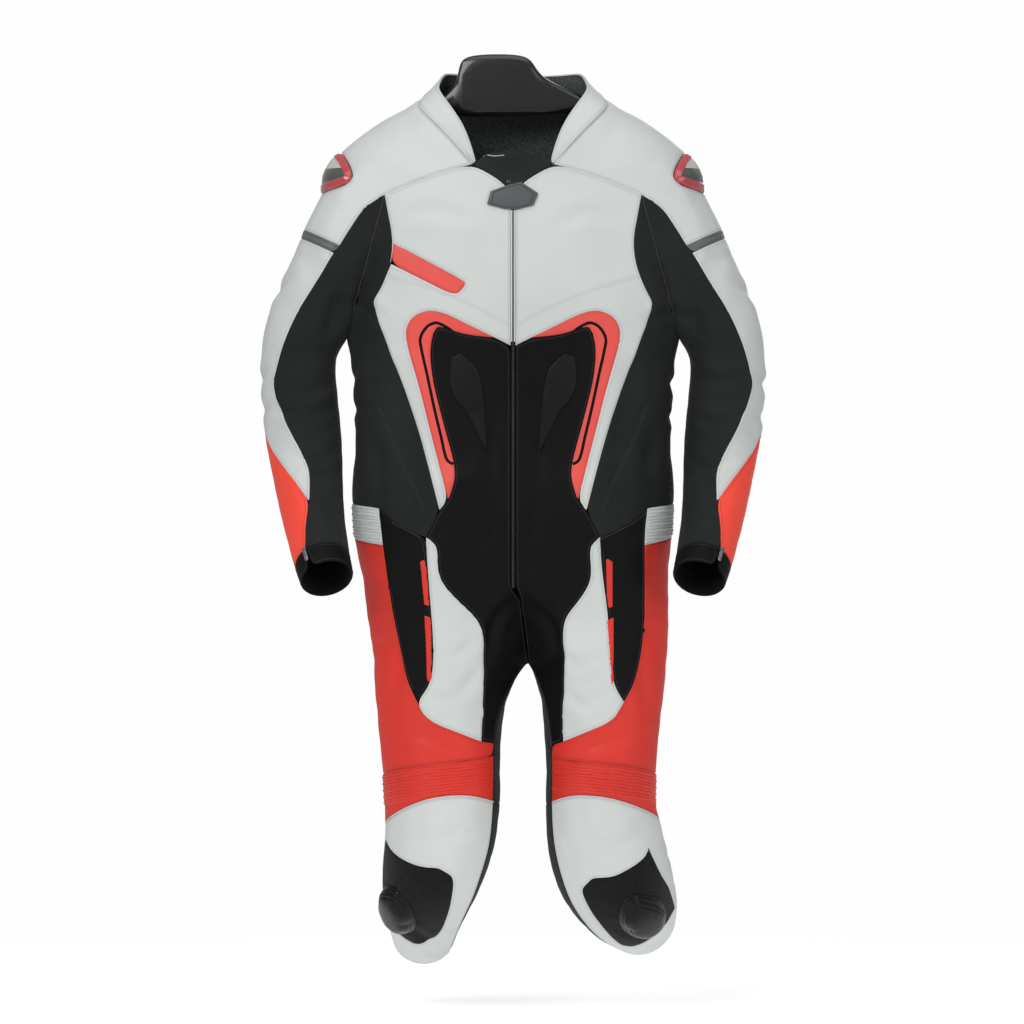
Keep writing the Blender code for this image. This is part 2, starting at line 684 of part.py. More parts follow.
def piece(name, chart, outline, finish, holes=(), wall=WALL, gap=SEAM_GAP / 2, spacing=LATTICE,
          rows=None, rise=None, dip=None, sink=0.0, stretch=1.0):
    """One cut piece: the patch of the form inside its outline, with a wall.

    rows gives its own inside points, rise how far outer points stand up, dip how far
    the wall sags inwards, and sink how far the whole piece lies inside the form.
    """
    loops = [np.asarray(outline, float)] + [np.asarray(h, float) for h in holes]
    solid_loops, flat_loops = [], []
    for i, loop in enumerate(loops):
        flat = chart.flat(loop)
        if (signed_area(flat) > 0) != (i == 0):
            loop = loop[::-1]
        loop = inset_loop(loop, normals(loop), gap)
        solid_loops.append(loop)
        flat_loops.append(chart.flat(loop))
    inner = rows(flat_loops[0]) if rows else lattice_points(flat_loops[0], flat_loops[1:], spacing)
    flat = np.vstack(flat_loops + [inner])
    scaled = flat * np.array([1.0, stretch])
    edges, base = [], 0
    for loop in flat_loops:
        n = len(loop)
        edges += [(base + i, base + (i + 1) % n) for i in range(n)]
        base += n
    result = delaunay_2d_cdt([Vector(p) for p in scaled], edges, [], 0, 1e-6)
    if len(result[0]) != len(flat):
        raise ValueError("%s: its outline crosses itself" % name)
    new_to_old = [ids[0] for ids in result[3]]
    tris = inner_triangles([[new_to_old[i] for i in face] for face in result[2]],
                           edges, flat, scaled, flat_loops)
    solid = np.vstack(solid_loops + ([chart.solid(inner)] if len(inner) else []))
    normal = normals(solid)
    up = np.zeros(len(solid))
    if rise is not None:
        up[base:] = rise(inner, flat_loops[0])
    if dip is not None:
        solid[base:] -= dip(inner, flat_loops[0])[:, None] * normal[base:]
    top = solid + (up - sink)[:, None] * normal
    under = solid - (wall + sink) * normal
    count = len(solid)
    faces = [tuple(t) for t in tris] + [tuple(count + i for i in t[::-1]) for t in tris]
    for a, b in edges:
        faces += [(b, a, count + a), (b, count + a, count + b)]
    return add_object(name, np.vstack([top, under]), faces, finish)


def mirrored(obj, name):
    """The same piece for the wearer's left, facing the other way in x."""
    mesh = obj.data
    verts = [(-v.co.x / MM, v.co.y / MM, v.co.z / MM) for v in mesh.vertices]
    faces = [tuple(reversed(f.vertices)) for f in mesh.polygons]
    return add_object(name, np.array(verts), faces, mesh.materials[0].name)


def xz(point):
    return (point[0], point[2])


def swap_end(points, start=None, end=None):
    """The table with its first or last point put at a point already on the form."""
    out = list(points)
    if start is not None:
        out[0] = xz(start)
    if end is not None:
        out[-1] = xz(end)
    return out


def pin(seam, start=None, end=None):
    """The seam with its ends exactly at the given corners."""
    seam = seam.copy()
    if start is not None:
        seam[0] = start
    if end is not None:
        seam[-1] = end
    return seam


def flip(seam):
    return seam * np.array([-1.0, 1.0, 1.0])


def neck_seam(start, end):
    rows = spline([row[:2] for row in NECK], 1.0)
    turn = np.linspace(start, end, int(abs(end - start)) + 2)
    z = np.interp(turn, rows[:, 0], rows[:, 1])
    angle = np.radians(turn)
    aim = np.stack([-np.sin(angle), -np.cos(angle), 0 * angle], axis=1)
    middle = np.stack([0 * z, 0 * z, z], axis=1)
    return thin_out(cast(middle, aim))


def tube_seam(tube, *rows, start=None, end=None):
    """A seam on a limb through rows of (distance, direction) and given end corners."""
    table = [tuple(map(float, row)) for row in rows]
    for corner, first in ((start, True), (end, False)):
        if corner is None:
            continue
        down, x, y = (float(value[0]) for value in tube.locate(corner[None]))
        turn = math.degrees(math.atan2(x, y))
        near = table[0][1] if table and first else table[-1][1] if table else turn
        turn += 360.0 * round((near - turn) / 360.0)
        table = [(down, turn)] + table if first else table + [(down, turn)]
    scale = np.array([1.0, 1.5])
    curve = spline(np.array(table) * scale) / scale
    seam = tube_points(tube, curve[:, 0], curve[:, 1])
    return thin_out(pin(seam, start, end))


def ribbed(count, height, columns=24.0):
    """Inside points in rows for ribs that run across a piece, and their rise."""
    lines = 2 * count

    def span(loop, u):
        x1, y1 = loop.T
        x2, y2 = np.roll(loop, -1, axis=0).T
        hit = (x1 > u) != (x2 > u)
        v = y1[hit] + (u - x1[hit]) * (y2[hit] - y1[hit]) / (x2[hit] - x1[hit])
        return v.min(), v.max()

    def rows(loop):
        lo, hi = loop[:, 0].min(), loop[:, 0].max()
        number = max(2, int(round((hi - lo) / columns)))
        out = []
        for i, u in enumerate(np.linspace(lo, hi, 2 * number + 1)[1:-1:2]):
            bottom, top = span(loop, u)
            out += [(u, bottom + (top - bottom) * k / lines) for k in range(1, lines)]
        return np.array(out)

    def rise(points, loop):
        out = np.zeros(len(points))
        for i, (u, v) in enumerate(points):
            bottom, top = span(loop, u)
            step = int(round((v - bottom) / (top - bottom) * lines))
            out[i] = height * (step % 2)
        return out

    return rows, rise


def dome(size, height):
    """Rise of a smooth dome over a piece, from its edge to its middle."""
    def rise(points, loop):
        away = edge_distance(points, loop)
        return height * np.sqrt(1 - (1 - np.clip(away / size, 0, 1)) ** 2)
    return rise


class Suit:
    """The seams of the upper suit on the wearer's right, and the pieces made from them."""

    def __init__(self):
        self.front = FaceChart()
        self.back = FaceChart(back=True)
        self.trunk = TrunkChart()
        self.sleeve = TubeChart(ARM_GUIDE, ARM_RADIUS, math.radians(-150))
        self.sleeve_in = UprightChart(SLEEVE, -1, ARM_RADIUS, math.radians(90))
        self.seams()

    def seams(self):
        neck_front, neck_back = NECK[0][0], NECK_SHOULDER
        self.neck_side = neck_seam(neck_front, neck_back)
        self.neck_rear = neck_seam(neck_back, 180.0)
        c, nb = self.neck_side[0], self.neck_side[-1]
        self.v_edge = pin(seam_front(swap_end(NECK_V, end=c)), end=c)
        yoke = seam_front(swap_end(YOKE, start=c))
        self.yoke = pin(yoke, start=c)
        t = self.yoke[-1]
        self.yoke_band = pin(seam_front(YOKE_TO_BAND), start=t)
        self.yoke_band_back = seam_front(YOKE_TO_BAND, back=True)
        tb = self.yoke_band_back[0]
        self.back_yoke = pin(seam_front(swap_end(BACK_YOKE, start=nb), back=True), nb, tb)
        b1, b1b = self.yoke_band[-1], self.yoke_band_back[-1]
        self.band_end = pin(seam_front(BAND_END), start=b1)
        self.band_end_back = pin(seam_front(BAND_END, back=True), start=b1b)
        b2, b2b = self.band_end[-1], self.band_end_back[-1]
        self.band_top = tube_seam(ARM_GUIDE, start=b1, end=b1b)
        self.band_bottom = tube_seam(ARM_GUIDE, start=b2, end=b2b)
        self.sleeve_edge = pin(seam_front(SLEEVE_EDGE), start=b2)
        self.sleeve_edge_back = pin(seam_front(SLEEVE_EDGE, back=True), start=b2b)
        m, mb = self.sleeve_edge[-1], self.sleeve_edge_back[-1]
        self.red_seam = tube_seam(ARM_GUIDE, (SLEEVE_RED_HALFWAY, 48), (SLEEVE_RED_OUTSIDE, 90),
                                  (SLEEVE_RED_HALFWAY, 132), start=m, end=mb)
        turn = CUFF_ZIP_TURN
        self.forearm = tube_seam(ARM_GUIDE, FOREARM_FRONT, (CUFF_SEAM, turn), start=m)
        self.forearm_back = tube_seam(ARM_GUIDE, FOREARM_BACK, (CUFF_SEAM, CUFF_BACK_TURN),
                                      start=mb)
        d, db = self.forearm[-1], self.forearm_back[-1]
        self.cuff_out = tube_seam(ARM_GUIDE, (CUFF_SEAM, 90), start=d, end=db)
        self.cuff_in = tube_seam(ARM_GUIDE, (CUFF_SEAM, 270), start=db, end=d)
        self.armhole = self.armhole_seam(t, tb)
        self.chest_side = pin(seam_front(CHEST_SIDE), start=t)
        st = self.chest_side[-1]
        self.strip_end = pin(seam_front(STRIP_END), start=st)
        k2 = self.strip_end[-1]
        self.bracket_outer = pin(seam_front(BRACKET_OUTER), end=k2)
        k1 = self.bracket_outer[0]
        self.bracket_inner = pin(seam_front(BRACKET_INNER), k1, k2)
        self.v_point = pin(seam_front(V_POINT), start=k1)
        self.hip_join = pin(seam_front(HIP_JOIN), start=st)
        w1 = self.hip_join[-1]
        self.hip_seam = pin(seam_front(HIP_SEAM), start=w1)
        leg = LEG_FORM["r"]
        h1 = self.hip_seam[-1]
        h0 = tube_points(leg, [HIP_RIB_TOP], [OUTSEAM_TURN])[0]
        self.rib_top = tube_seam(leg, start=h1, end=h0)
        self.back_side = pin(seam_front(BACK_SIDE, back=True), start=tb)
        wb = self.back_side[-1]
        self.back_side_low = pin(seam_front(swap_end(BACK_SIDE_LOW, end=h0), back=True), wb, h0)
        self.waist = pin(seam_front(WAIST_SEAM, back=True), start=wb)
        self.seat = pin(seam_front(swap_end(SEAT_SEAM, start=h0), back=True), start=h0)

        self.crotch = self.crotch_seams(self.seat[-1])

    def crotch_seams(self, seat_middle):
        """The centre seam under the suit, from the zip's end and from the seat."""
        middle = np.array([CROTCH_CENTRE[0], 0.0, CROTCH_CENTRE[1]])
        low = np.array([CROTCH_LEAN[0], 0.0, CROTCH_LEAN[1]])
        low /= np.linalg.norm(low)
        ahead = np.array([0.0, -1.0, 0.0])

        def sweep(first, last):
            turn = np.radians(np.linspace(first, last, 60))
            aim = np.cos(turn)[:, None] * low + np.sin(turn)[:, None] * ahead
            return cast(np.tile(middle, (60, 1)), aim)

        front = thin_out(sweep(CROTCH_SWEEP, 0))
        under = sweep(0, -CROTCH_SWEEP)
        back = from_front(spline([xz(seat_middle), xz(under[-1])]), back=True)
        return front, thin_out(pin(np.vstack([back[:-1], under[::-1]]), seat_middle, front[-1]))

    def armhole_seam(self, front_tip, back_tip):
        middle = np.array([ARMHOLE_CENTRE[0], 0.0, ARMHOLE_CENTRE[1]])
        up = front_tip - middle
        up[1] = 0.0
        up /= np.linalg.norm(up)
        ahead = np.array([0.0, -1.0, 0.0])
        ends = [math.atan2((tip - middle) @ ahead, (tip - middle) @ up)
                for tip in (front_tip, back_tip)]
        turn = np.linspace(ends[0], ends[1] + 2 * math.pi, 120)
        aim = np.cos(turn)[:, None] * up + np.sin(turn)[:, None] * ahead
        curve = cast(np.tile(middle, (len(turn), 1)), aim)
        return thin_out(pin(curve, front_tip, back_tip))

    def both(self, name, *args, **kwargs):
        made = piece(name + "_r", *args, **kwargs)
        return [made, mirrored(made, name + "_l")]

    def build(self):
        s = self
        slider = thin_loop(tube_points(ARM_GUIDE, *closed_spline(SLIDER).T))
        self.yokes = self.both(
            "shoulder", s.sleeve,
            join(s.neck_side, s.back_yoke, s.yoke_band_back, rev(s.band_top), rev(s.yoke_band),
                 rev(s.yoke)),
            "leather_white", holes=[slider])
        self.both("shoulder_slider", s.sleeve, slider, "slider_red", spacing=14.0, wall=2.5,
                  rise=dome(24.0, SLIDER_RISE))
        self.both("sleeve_band", s.sleeve,
                  join(s.band_top, s.band_end_back, rev(s.band_bottom), rev(s.band_end)),
                  "band_grey")
        self.both("sleeve_upper", s.sleeve,
                  join(s.band_bottom, s.sleeve_edge_back, rev(s.red_seam), rev(s.sleeve_edge)),
                  "leather_white")
        self.both("sleeve_forearm", s.sleeve,
                  join(s.red_seam, s.forearm_back, rev(s.cuff_out), rev(s.forearm)),
                  "leather_red")
        self.both("sleeve_stretch", s.sleeve_in,
                  join(s.yoke_band, s.band_end, s.sleeve_edge, s.forearm, rev(s.cuff_in),
                       rev(s.forearm_back), rev(s.sleeve_edge_back), rev(s.band_end_back),
                       rev(s.yoke_band_back), rev(s.armhole)),
                  "stretch_black")
        self.build_cuff()
        self.both("side_stretch", s.trunk,
                  join(s.chest_side, s.hip_join, s.hip_seam, s.rib_top, rev(s.back_side_low),
                       rev(s.back_side), rev(s.armhole)),
                  "stretch_black")
        self.build_front()
        self.build_back()
        self.build_neck()

    def build_cuff(self):
        zip_at = CUFF_ZIP_TURN
        start = tube_points(ARM_GUIDE, [CUFF_SEAM, CUFF_END], [zip_at + CUFF_SLIT_HALF] * 2)
        end = tube_points(ARM_GUIDE, [CUFF_SEAM, CUFF_END], [zip_at + 360 - CUFF_SLIT_HALF] * 2)
        top = pin(np.vstack([self.cuff_out[:-1], self.cuff_in]), start[0], end[0])
        turns = np.linspace(zip_at + CUFF_SLIT_HALF, zip_at + 360 - CUFF_SLIT_HALF, 17)
        hem = tube_points(ARM_GUIDE, np.full(len(turns), CUFF_END), turns)
        chart = TubeChart(ARM_GUIDE, CUFF_RADIUS, math.radians(zip_at))
        self.both("cuff", chart, np.vstack([top, hem[::-1]]), "leather_black")

    def build_front(self):
        s = self
        zip_top_edge = from_front([(-ZIP_SLOT, ZIP_TOP)])[0]
        chest_low = from_front([(-ZIP_SLOT, V_POINT[-1][1])])[0]
        self.zip_chest = thin_out(from_front(spline([xz(zip_top_edge), xz(chest_low)])))
        self.v_edge = pin(self.v_edge, start=zip_top_edge)
        self.v_point = pin(self.v_point, end=chest_low)
        bar = from_front(closed(CHEST_BAR, 30.0))
        chest = join(s.zip_chest, rev(s.v_point), s.bracket_outer, rev(s.strip_end),
                     rev(s.chest_side), rev(s.yoke), rev(s.v_edge))
        piece("chest_r", s.front, chest, "leather_white", holes=[bar])
        piece("chest_l", s.front, flip(chest), "leather_white")
        piece("chest_bar", s.front, bar, "leather_red")
        pad = thin_loop(from_front(closed(ABDOMEN_PAD, 20.0)), sag=0.6)
        self.both("abdomen_pad", s.front, pad, "leather_black", spacing=18.0, wall=1.6,
                  sink=-1.6 - OVERLAY_GAP, rise=dome(10.0, 2.4))
        self.both("bracket", s.front, join(s.bracket_outer, rev(s.bracket_inner)), "leather_red",
                  spacing=20.0)

    def build_back(self):
        s = self
        upper = join(s.neck_rear, flip(rev(s.neck_rear)), flip(s.back_yoke), flip(s.back_side),
                     flip(s.waist), rev(s.waist), rev(s.back_side), rev(s.back_yoke))
        piece("back_upper", s.back, upper, "leather_white")
        lower = join(s.waist, flip(rev(s.waist)), flip(s.back_side_low), flip(s.seat),
                     rev(s.seat), rev(s.back_side_low))
        piece("back_lower", s.back, lower, "stretch_black")

    def neck_ring(self):
        """The neck seam from the wearer's right of the V round to its left."""
        right = join(self.neck_side, self.neck_rear)
        return np.vstack([right, self.neck_rear[-1:], flip(right)[::-1]])

    def build_neck(self):
        s = self
        ring = s.neck_ring()
        rows = spline(NECK, 1.0)
        turn = np.degrees(np.arctan2(np.abs(ring[:, 0]), -ring[:, 1]))
        lean = np.interp(turn, rows[:, 0], rows[:, 2])[:, None]
        tall = np.interp(turn, rows[:, 0], rows[:, 3])[:, None]
        inward = -ring * np.array([1.0, 1.0, 0.0])
        inward /= np.linalg.norm(inward, axis=1)[:, None]
        climb = inward * lean + tall * np.array([0.0, 0.0, 1.0])
        round_way = np.gradient(ring, axis=0)
        out = np.cross(round_way, climb)
        out /= np.linalg.norm(out, axis=1)[:, None]
        first = SEAM_GAP / np.linalg.norm(climb, axis=1)[:, None]
        outer, inner = [], []
        for step in range(COLLAR_ROWS + 1):
            share = first + (1 - first) * step / COLLAR_ROWS
            bow = COLLAR_BOW * 4 * share * (1 - share)
            line = ring + climb * share + out * bow
            outer.append(line)
            inner.append(line - COLLAR_WALL * out)
        shell_grid("collar", outer, inner, "leather_white")
        v_left = flip(s.v_edge)
        edge = from_front(spline([xz(s.v_edge[-1]), *FLAP_TOP, xz(v_left[-1])], 16.0))
        outline = np.vstack([s.v_edge, edge[1:-1], rev(v_left)])
        piece("neck_flap", s.front, outline, "stretch_black", gap=0.6, spacing=20.0,
              sink=WALL + 0.2, dip=dome(24.0, FLAP_DIP))
        tab = from_front(closed(TAB, 14.0))
        piece("zip_tab", s.front, tab, "leather_black", gap=0.0, spacing=14.0, wall=TAB_WALL,
              sink=-TAB_WALL - OVERLAY_GAP)

    def build_zip(self, lower_edge):
        """The closed teeth, standing in the slot between the fronts."""
        line = np.vstack([self.zip_chest, lower_edge[1:]])
        half = ZIP_SLOT - SEAM_GAP / 2 - ZIP_TEETH_ROOM
        face = normals(line)
        columns = []
        for across, rise in ((-half, 0.0), (0.0, ZIP_TEETH_RISE), (half, 0.0)):
            shifted = line.copy()
            shifted[:, 0] = across
            stand = np.where(line[:, 2] < ZIP_COVERED, rise, 0.0)[:, None]
            columns.append(shifted + stand * face)
        under = [np.column_stack([c[:, 0], line[:, 1], line[:, 2]]) - WALL * face for c in columns]
        shell_grid("zip_teeth", columns, under, "zip_metal")


def shell_grid(name, outer, inner, finish):
    """A closed wall from matching rows of outer and inner points."""
    rows, columns = len(outer), len(outer[0])
    verts = np.vstack(list(outer) + list(inner))
    under = rows * columns

    def at(i, j):
        return i * columns + j

    faces = []
    for i in range(rows - 1):
        for j in range(columns - 1):
            quad = (at(i, j), at(i, j + 1), at(i + 1, j + 1), at(i + 1, j))
            for tri in (quad[:3], (quad[0], quad[2], quad[3])):
                faces.append(tri)
                faces.append(tuple(under + v for v in reversed(tri)))
    rim = [at(0, j) for j in range(columns)]
    rim += [at(i, columns - 1) for i in range(1, rows)]
    rim += [at(rows - 1, j) for j in range(columns - 2, -1, -1)]
    rim += [at(i, 0) for i in range(rows - 2, 0, -1)]
    for a, b in zip(rim, rim[1:] + rim[:1]):
        faces.append((b, a, under + a))
        faces.append((b, under + a, under + b))
    return add_object(name, verts, outward(verts, faces), finish)


def outward(verts, faces):
    """The faces, turned over if they enclose a negative volume."""
    volume = 0.0
    for face in faces:
        a, b, c = (verts[i] for i in face[:3])
        volume += np.dot(a, np.cross(b, c))
        for k in range(3, len(face)):
            volume += np.dot(verts[face[0]], np.cross(verts[face[k - 1]], verts[face[k]]))
    return faces if volume > 0 else [tuple(reversed(face)) for face in faces]


def prism(outline, low, high):
    """A flat outline in (u, v) made solid between two heights, as points and faces."""
    n = len(outline)
    verts = [(u, v, w) for w in (low, high) for u, v in outline]
    faces = [tuple(range(n)), tuple(range(2 * n - 1, n - 1, -1))]
    faces += [(i, n + i, n + (i + 1) % n, (i + 1) % n) for i in range(n)]
    return np.array(verts, float), faces


class Leg:
    """The pieces of one leg.  Its seams down from the hip come from the same tables."""

    def __init__(self, suit, mark):
        self.suit, self.mark = suit, mark
        self.tube = LEG_FORM[mark]
        self.side = 1.0 if mark == "l" else -1.0
        self.round = TubeChart(self.tube, THIGH_RADIUS, -math.pi)
        self.behind = TubeChart(self.tube, THIGH_RADIUS, math.radians(95))
        self.low = TubeChart(self.tube, SHIN_RADIUS, -math.pi)
        self.low_behind = TubeChart(self.tube, SHIN_RADIUS, math.radians(95))
        self.seams()

    def upper(self, seam):
        """A seam of the upper suit on this side."""
        return flip(seam) if self.mark == "l" else seam

    def place(self, points):
        """Points on the wearer's right leg, put in the same place across this leg."""
        right, here = LEG_FORM["r"], self.tube
        out = []
        for x, z in points:
            down = np.interp(-z, -right.centre[:, 2], right.dist)
            across = (x - np.interp(down, right.dist, right.centre[:, 0]))
            across /= np.interp(down, right.dist, right.across)
            there = np.interp(-z, -here.centre[:, 2], here.dist)
            half = np.interp(there, here.dist, here.across)
            out.append((np.interp(there, here.dist, here.centre[:, 0]) - across * self.side * half, z))
        return out

    def drawn(self, table, start=None, end=None):
        points = swap_end(self.place(table), start, end)
        return pin(seam_front(points), start, end)

    def seams(self):
        u, tube = self.upper, self.tube
        s = self.suit
        self.hip_join, self.hip_seam = u(s.hip_join), u(s.hip_seam)
        self.rib_top, self.seat = u(s.rib_top), u(s.seat)
        w1, h1, h0 = self.hip_join[-1], self.rib_top[0], self.rib_top[-1]
        end = tube.dist[-1] - 3.0
        self.rib_front = self.drawn(RIB_FRONT, start=h1)
        r1 = self.rib_front[-1]
        r0 = tube_points(tube, [HIP_RIB_BOTTOM], [OUTSEAM_TURN])[0]
        self.rib_bottom = tube_seam(tube, start=r1, end=r0)
        self.rib_back = tube_seam(tube, start=h0, end=r0)
        self.white_top = self.drawn(WHITE_TOP, start=w1)
        w2 = self.white_top[-1]
        self.white_inner = self.drawn(WHITE_INNER, start=w2)
        x2 = self.white_inner[-1]
        self.white_outer = self.drawn(WHITE_OUTER, start=w1)
        x1 = self.white_outer[-1]
        self.red_inner = self.drawn(RED_INNER, start=r1, end=x1)
        self.red_top = self.drawn(RED_TOP, start=x1, end=x2)
        self.crotch_front, self.crotch_back = s.crotch
        q = self.crotch_front[-1]
        x3 = tube_points(tube, [RED_INNER_END], [INSEAM_TURN])[0]
        self.red_corner = tube_seam(tube, start=x2, end=x3)
        self.inseam_top = tube_seam(tube, INSEAM_BOW, start=q, end=x3)
        rows = np.array(ACCORDION, float)
        above = tube_seam(tube, *[(top, turn) for turn, top, low in rows])
        below = tube_seam(tube, *[(low, turn) for turn, top, low in rows])
        self.accordion_top, self.accordion_bottom = above, below
        a1, a0, k1, k0 = above[0], above[-1], below[0], below[-1]
        self.inseam_red = tube_seam(tube, start=x3, end=a1)
        self.inseam_accordion = tube_seam(tube, start=a1, end=k1)
        self.outseam_red = tube_seam(tube, start=r0, end=a0)
        self.outseam_accordion = tube_seam(tube, start=a0, end=k0)
        self.knee_back = tube_seam(tube, KNEE_BACK, start=k0, end=k1)
        e0 = tube_points(tube, [end], [OUTSEAM_TURN])[0]
        e1 = tube_points(tube, [end], [INSEAM_TURN])[0]
        self.outseam_low = tube_seam(tube, start=k0, end=e0)
        self.inseam_low = tube_seam(tube, start=k1, end=e1)
        self.hem_front = tube_seam(tube, start=e1, end=e0)
        self.hem_back = tube_seam(tube, (end, 180), start=e0, end=e1)

    def make(self, name, chart, outline, finish, **kwargs):
        return piece(name + "_" + self.mark, chart, outline, finish, **kwargs)

    def build(self):
        s, m = self, self.make
        front = self.suit.front
        rows, rise = ribbed(HIP_RIBS, HIP_RIB_RISE)
        m("hip_ribs", s.round, join(s.rib_top, s.rib_back, rev(s.rib_bottom), rev(s.rib_front)),
          "leather_white", rows=rows, rise=rise, stretch=5.0)
        m("thigh_panel", front,
          join(s.hip_seam, s.rib_front, s.red_inner, rev(s.white_outer)), "leather_black")
        m("thigh_white", front,
          join(s.white_top, s.white_inner, rev(s.red_top), rev(s.white_outer)), "leather_white")
        m("thigh_red", s.round,
          join(s.rib_bottom, s.outseam_red, rev(s.accordion_top), rev(s.inseam_red),
               rev(s.red_corner), rev(s.red_top), rev(s.red_inner)), "leather_red")
        rows, rise = ribbed(ACCORDION_RIBS, ACCORDION_RISE)
        m("accordion", s.low,
          join(s.accordion_top, s.outseam_accordion, rev(s.accordion_bottom),
               rev(s.inseam_accordion)),
          "leather_red", rows=rows, rise=rise, stretch=5.0)
        pad = join(*[thin_out(tube_points(s.tube, *spline(run).T)) for run in KNEE_PAD[s.mark]])
        puck = tube_loop(s.tube, PUCK_CENTRE[s.mark], PUCK_SIZE, PUCK_SIDES)
        m("knee", s.low,
          join(s.accordion_bottom, s.outseam_low, rev(s.hem_front), rev(s.inseam_low)),
          "leather_white", holes=[pad])
        m("knee_pad", s.low, pad, "stretch_black", holes=[puck], wall=3.0, spacing=26.0)
        m("knee_puck", s.low, puck, "puck_black", spacing=13.0, wall=2.5,
          rise=dome(20.0, PUCK_RISE))
        m("calf", s.low_behind,
          join(s.knee_back, s.inseam_low, rev(s.hem_back), rev(s.outseam_low)), "stretch_black",
          spacing=26.0)
        m("seat_leg", s.behind,
          join(s.seat, s.crotch_back, s.inseam_top, s.inseam_red, s.inseam_accordion,
               rev(s.knee_back), rev(s.outseam_accordion), rev(s.outseam_red), rev(s.rib_back)),
          "stretch_black")
        self.build_front(front)

    def build_front(self, front):
        s, u, suit = self, self.upper, self.suit
        slot = ZIP_SLOT * self.side
        top = u(suit.v_point)[-1]
        low = from_front([(slot, ZIP_END)])[0]
        zip_edge = pin(thin_out(from_front(spline([xz(top), xz(low)]))), top, low)
        crotch = s.crotch_front.copy()
        zip_run = np.vstack([zip_edge, crotch[:1]])
        outline = join(zip_run, crotch, s.inseam_top, rev(s.red_corner), rev(s.white_inner),
                       rev(s.white_top), rev(s.hip_join), u(suit.strip_end),
                       rev(u(suit.bracket_inner)), u(suit.v_point))
        s.make("front_lower", front, outline, "leather_black")
        if s.mark == "r":
            suit.build_zip(zip_edge)


def oriented(name, made, middle, axes, finish):
    """A small solid placed by its own axes, with its origin at `middle`."""
    verts, faces = made
    world = verts @ np.array(axes)
    obj = add_object(name, world, outward(world, faces), finish, smooth=False)
    obj.location = Vector(middle * MM)
    return obj


def build_cuff_zips():
    """On each cuff: a slider body over the slit, and its pull tab on a cross axis."""
    place = tube_points(ARM_GUIDE, [CUFF_SEAM, CUFF_SEAM + 8.0], [CUFF_ZIP_TURN] * 2)
    face = normals(place[:1])[0]
    down = place[1] - place[0]
    down -= face * (down @ face)
    down /= np.linalg.norm(down)
    across = np.cross(face, down)
    half, ear, base, top = PULL_BODY
    body = [(-half, 0), (half, 0), (half, top), (half - ear, top), (half - ear, base),
            (-half + ear, base), (-half + ear, top), (-half, top)]
    slim, wide, length = PULL_TAB
    (neck, spread), (in_x, in_y) = PULL_NECK, PULL_CORNER
    half_tab = [(slim, -PULL_HEAD), (slim, neck), (wide, spread), (wide, length - in_y),
                (wide - in_x, length)]
    tab = half_tab + [(-u, v) for u, v in reversed(half_tab)]
    hinge = place[0] + face * (OVERLAY_GAP + PULL_AXIS)
    for mark, turn in (("r", np.array([1.0, 1.0, 1.0])), ("l", np.array([-1.0, 1.0, 1.0]))):
        axes = [across * turn, face * turn, down * turn]
        foot = (place[0] + face * OVERLAY_GAP) * turn
        body_made = prism(body, -PULL_BODY_LENGTH / 2, PULL_BODY_LENGTH / 2)
        oriented("cuff_slider_" + mark, body_made, foot, axes, "zip_metal")
        tab_axes = [across * turn, down * turn, face * turn]
        tab_made = prism(tab, -PULL_THICK / 2, PULL_THICK / 2)
        oriented("cuff_pull_" + mark, tab_made, hinge * turn, tab_axes, "zip_metal")


def hanger_sections(lift):
    """Rows of x, middle height, half height, half depth and squareness, left to right."""
    rows = []
    for away, tall, deep in reversed(HANGER_ARM):
        rows.append((-away, HANGER_ARM_Z - HANGER_SLOPE * (away - HANGER_ARM[0][0]) + lift,
                     tall, deep, 2.0))
    for x, top, low, deep in HANGER_BLOCK:
        rows.append((BLOCK_X + x, (top + low) / 2, (top - low) / 2, deep, 5.0))
    for away, tall, deep in HANGER_ARM:
        rows.append((away, HANGER_ARM_Z - HANGER_SLOPE * (away - HANGER_ARM[0][0]) + lift,
                     tall, deep, 2.0))
    return rows


def hanger_points(lift):
    rings = []
    turn = np.linspace(0, 2 * math.pi, HANGER_SIDES, endpoint=False) + math.pi / HANGER_SIDES
    for x, z, tall, deep, power in hanger_sections(lift):
        s, c = np.sin(turn), np.cos(turn)
        y = deep * np.sign(c) * np.abs(c) ** (2 / power)
        h = tall * np.sign(s) * np.abs(s) ** (2 / power)
        rings.append(np.stack([np.full(len(turn), x), y, z + h], axis=1))
    return rings


def build_hanger(shoulder):
    """The hanger; its arms lie just under the shoulders that hang on them."""
    mesh = shoulder.data
    tree = BVHTree.FromPolygons([v.co / MM for v in mesh.vertices],
                                [tuple(f.vertices) for f in mesh.polygons])
    room = 1e9
    rings = hanger_points(0.0)
    arm = [r for r in rings if r[0][0] < -HANGER_ARM[0][0] + 1]
    for near, far in zip(arm, arm[1:]):
        for share in np.linspace(0, 1, 9):
            for point in near * (1 - share) + far * share:
                hit = tree.ray_cast(Vector(point), Vector((0, 0, 1)))
                if hit[0] is not None:
                    room = min(room, hit[3])
    rings = hanger_points(room - HANGER_SEAT_GAP)
    n = HANGER_SIDES
    verts = np.vstack(rings)
    faces = []
    for i in range(len(rings) - 1):
        for j in range(n):
            k = (j + 1) % n
            a, b, c, d = i * n + j, i * n + k, (i + 1) * n + k, (i + 1) * n + j
            faces += [(a, b, c), (a, c, d)]
    faces.append(tuple(range(n - 1, -1, -1)))
    faces.append(tuple((len(rings) - 1) * n + j for j in range(n)))
    add_object("hanger", verts, outward(verts, faces), "hanger_black")


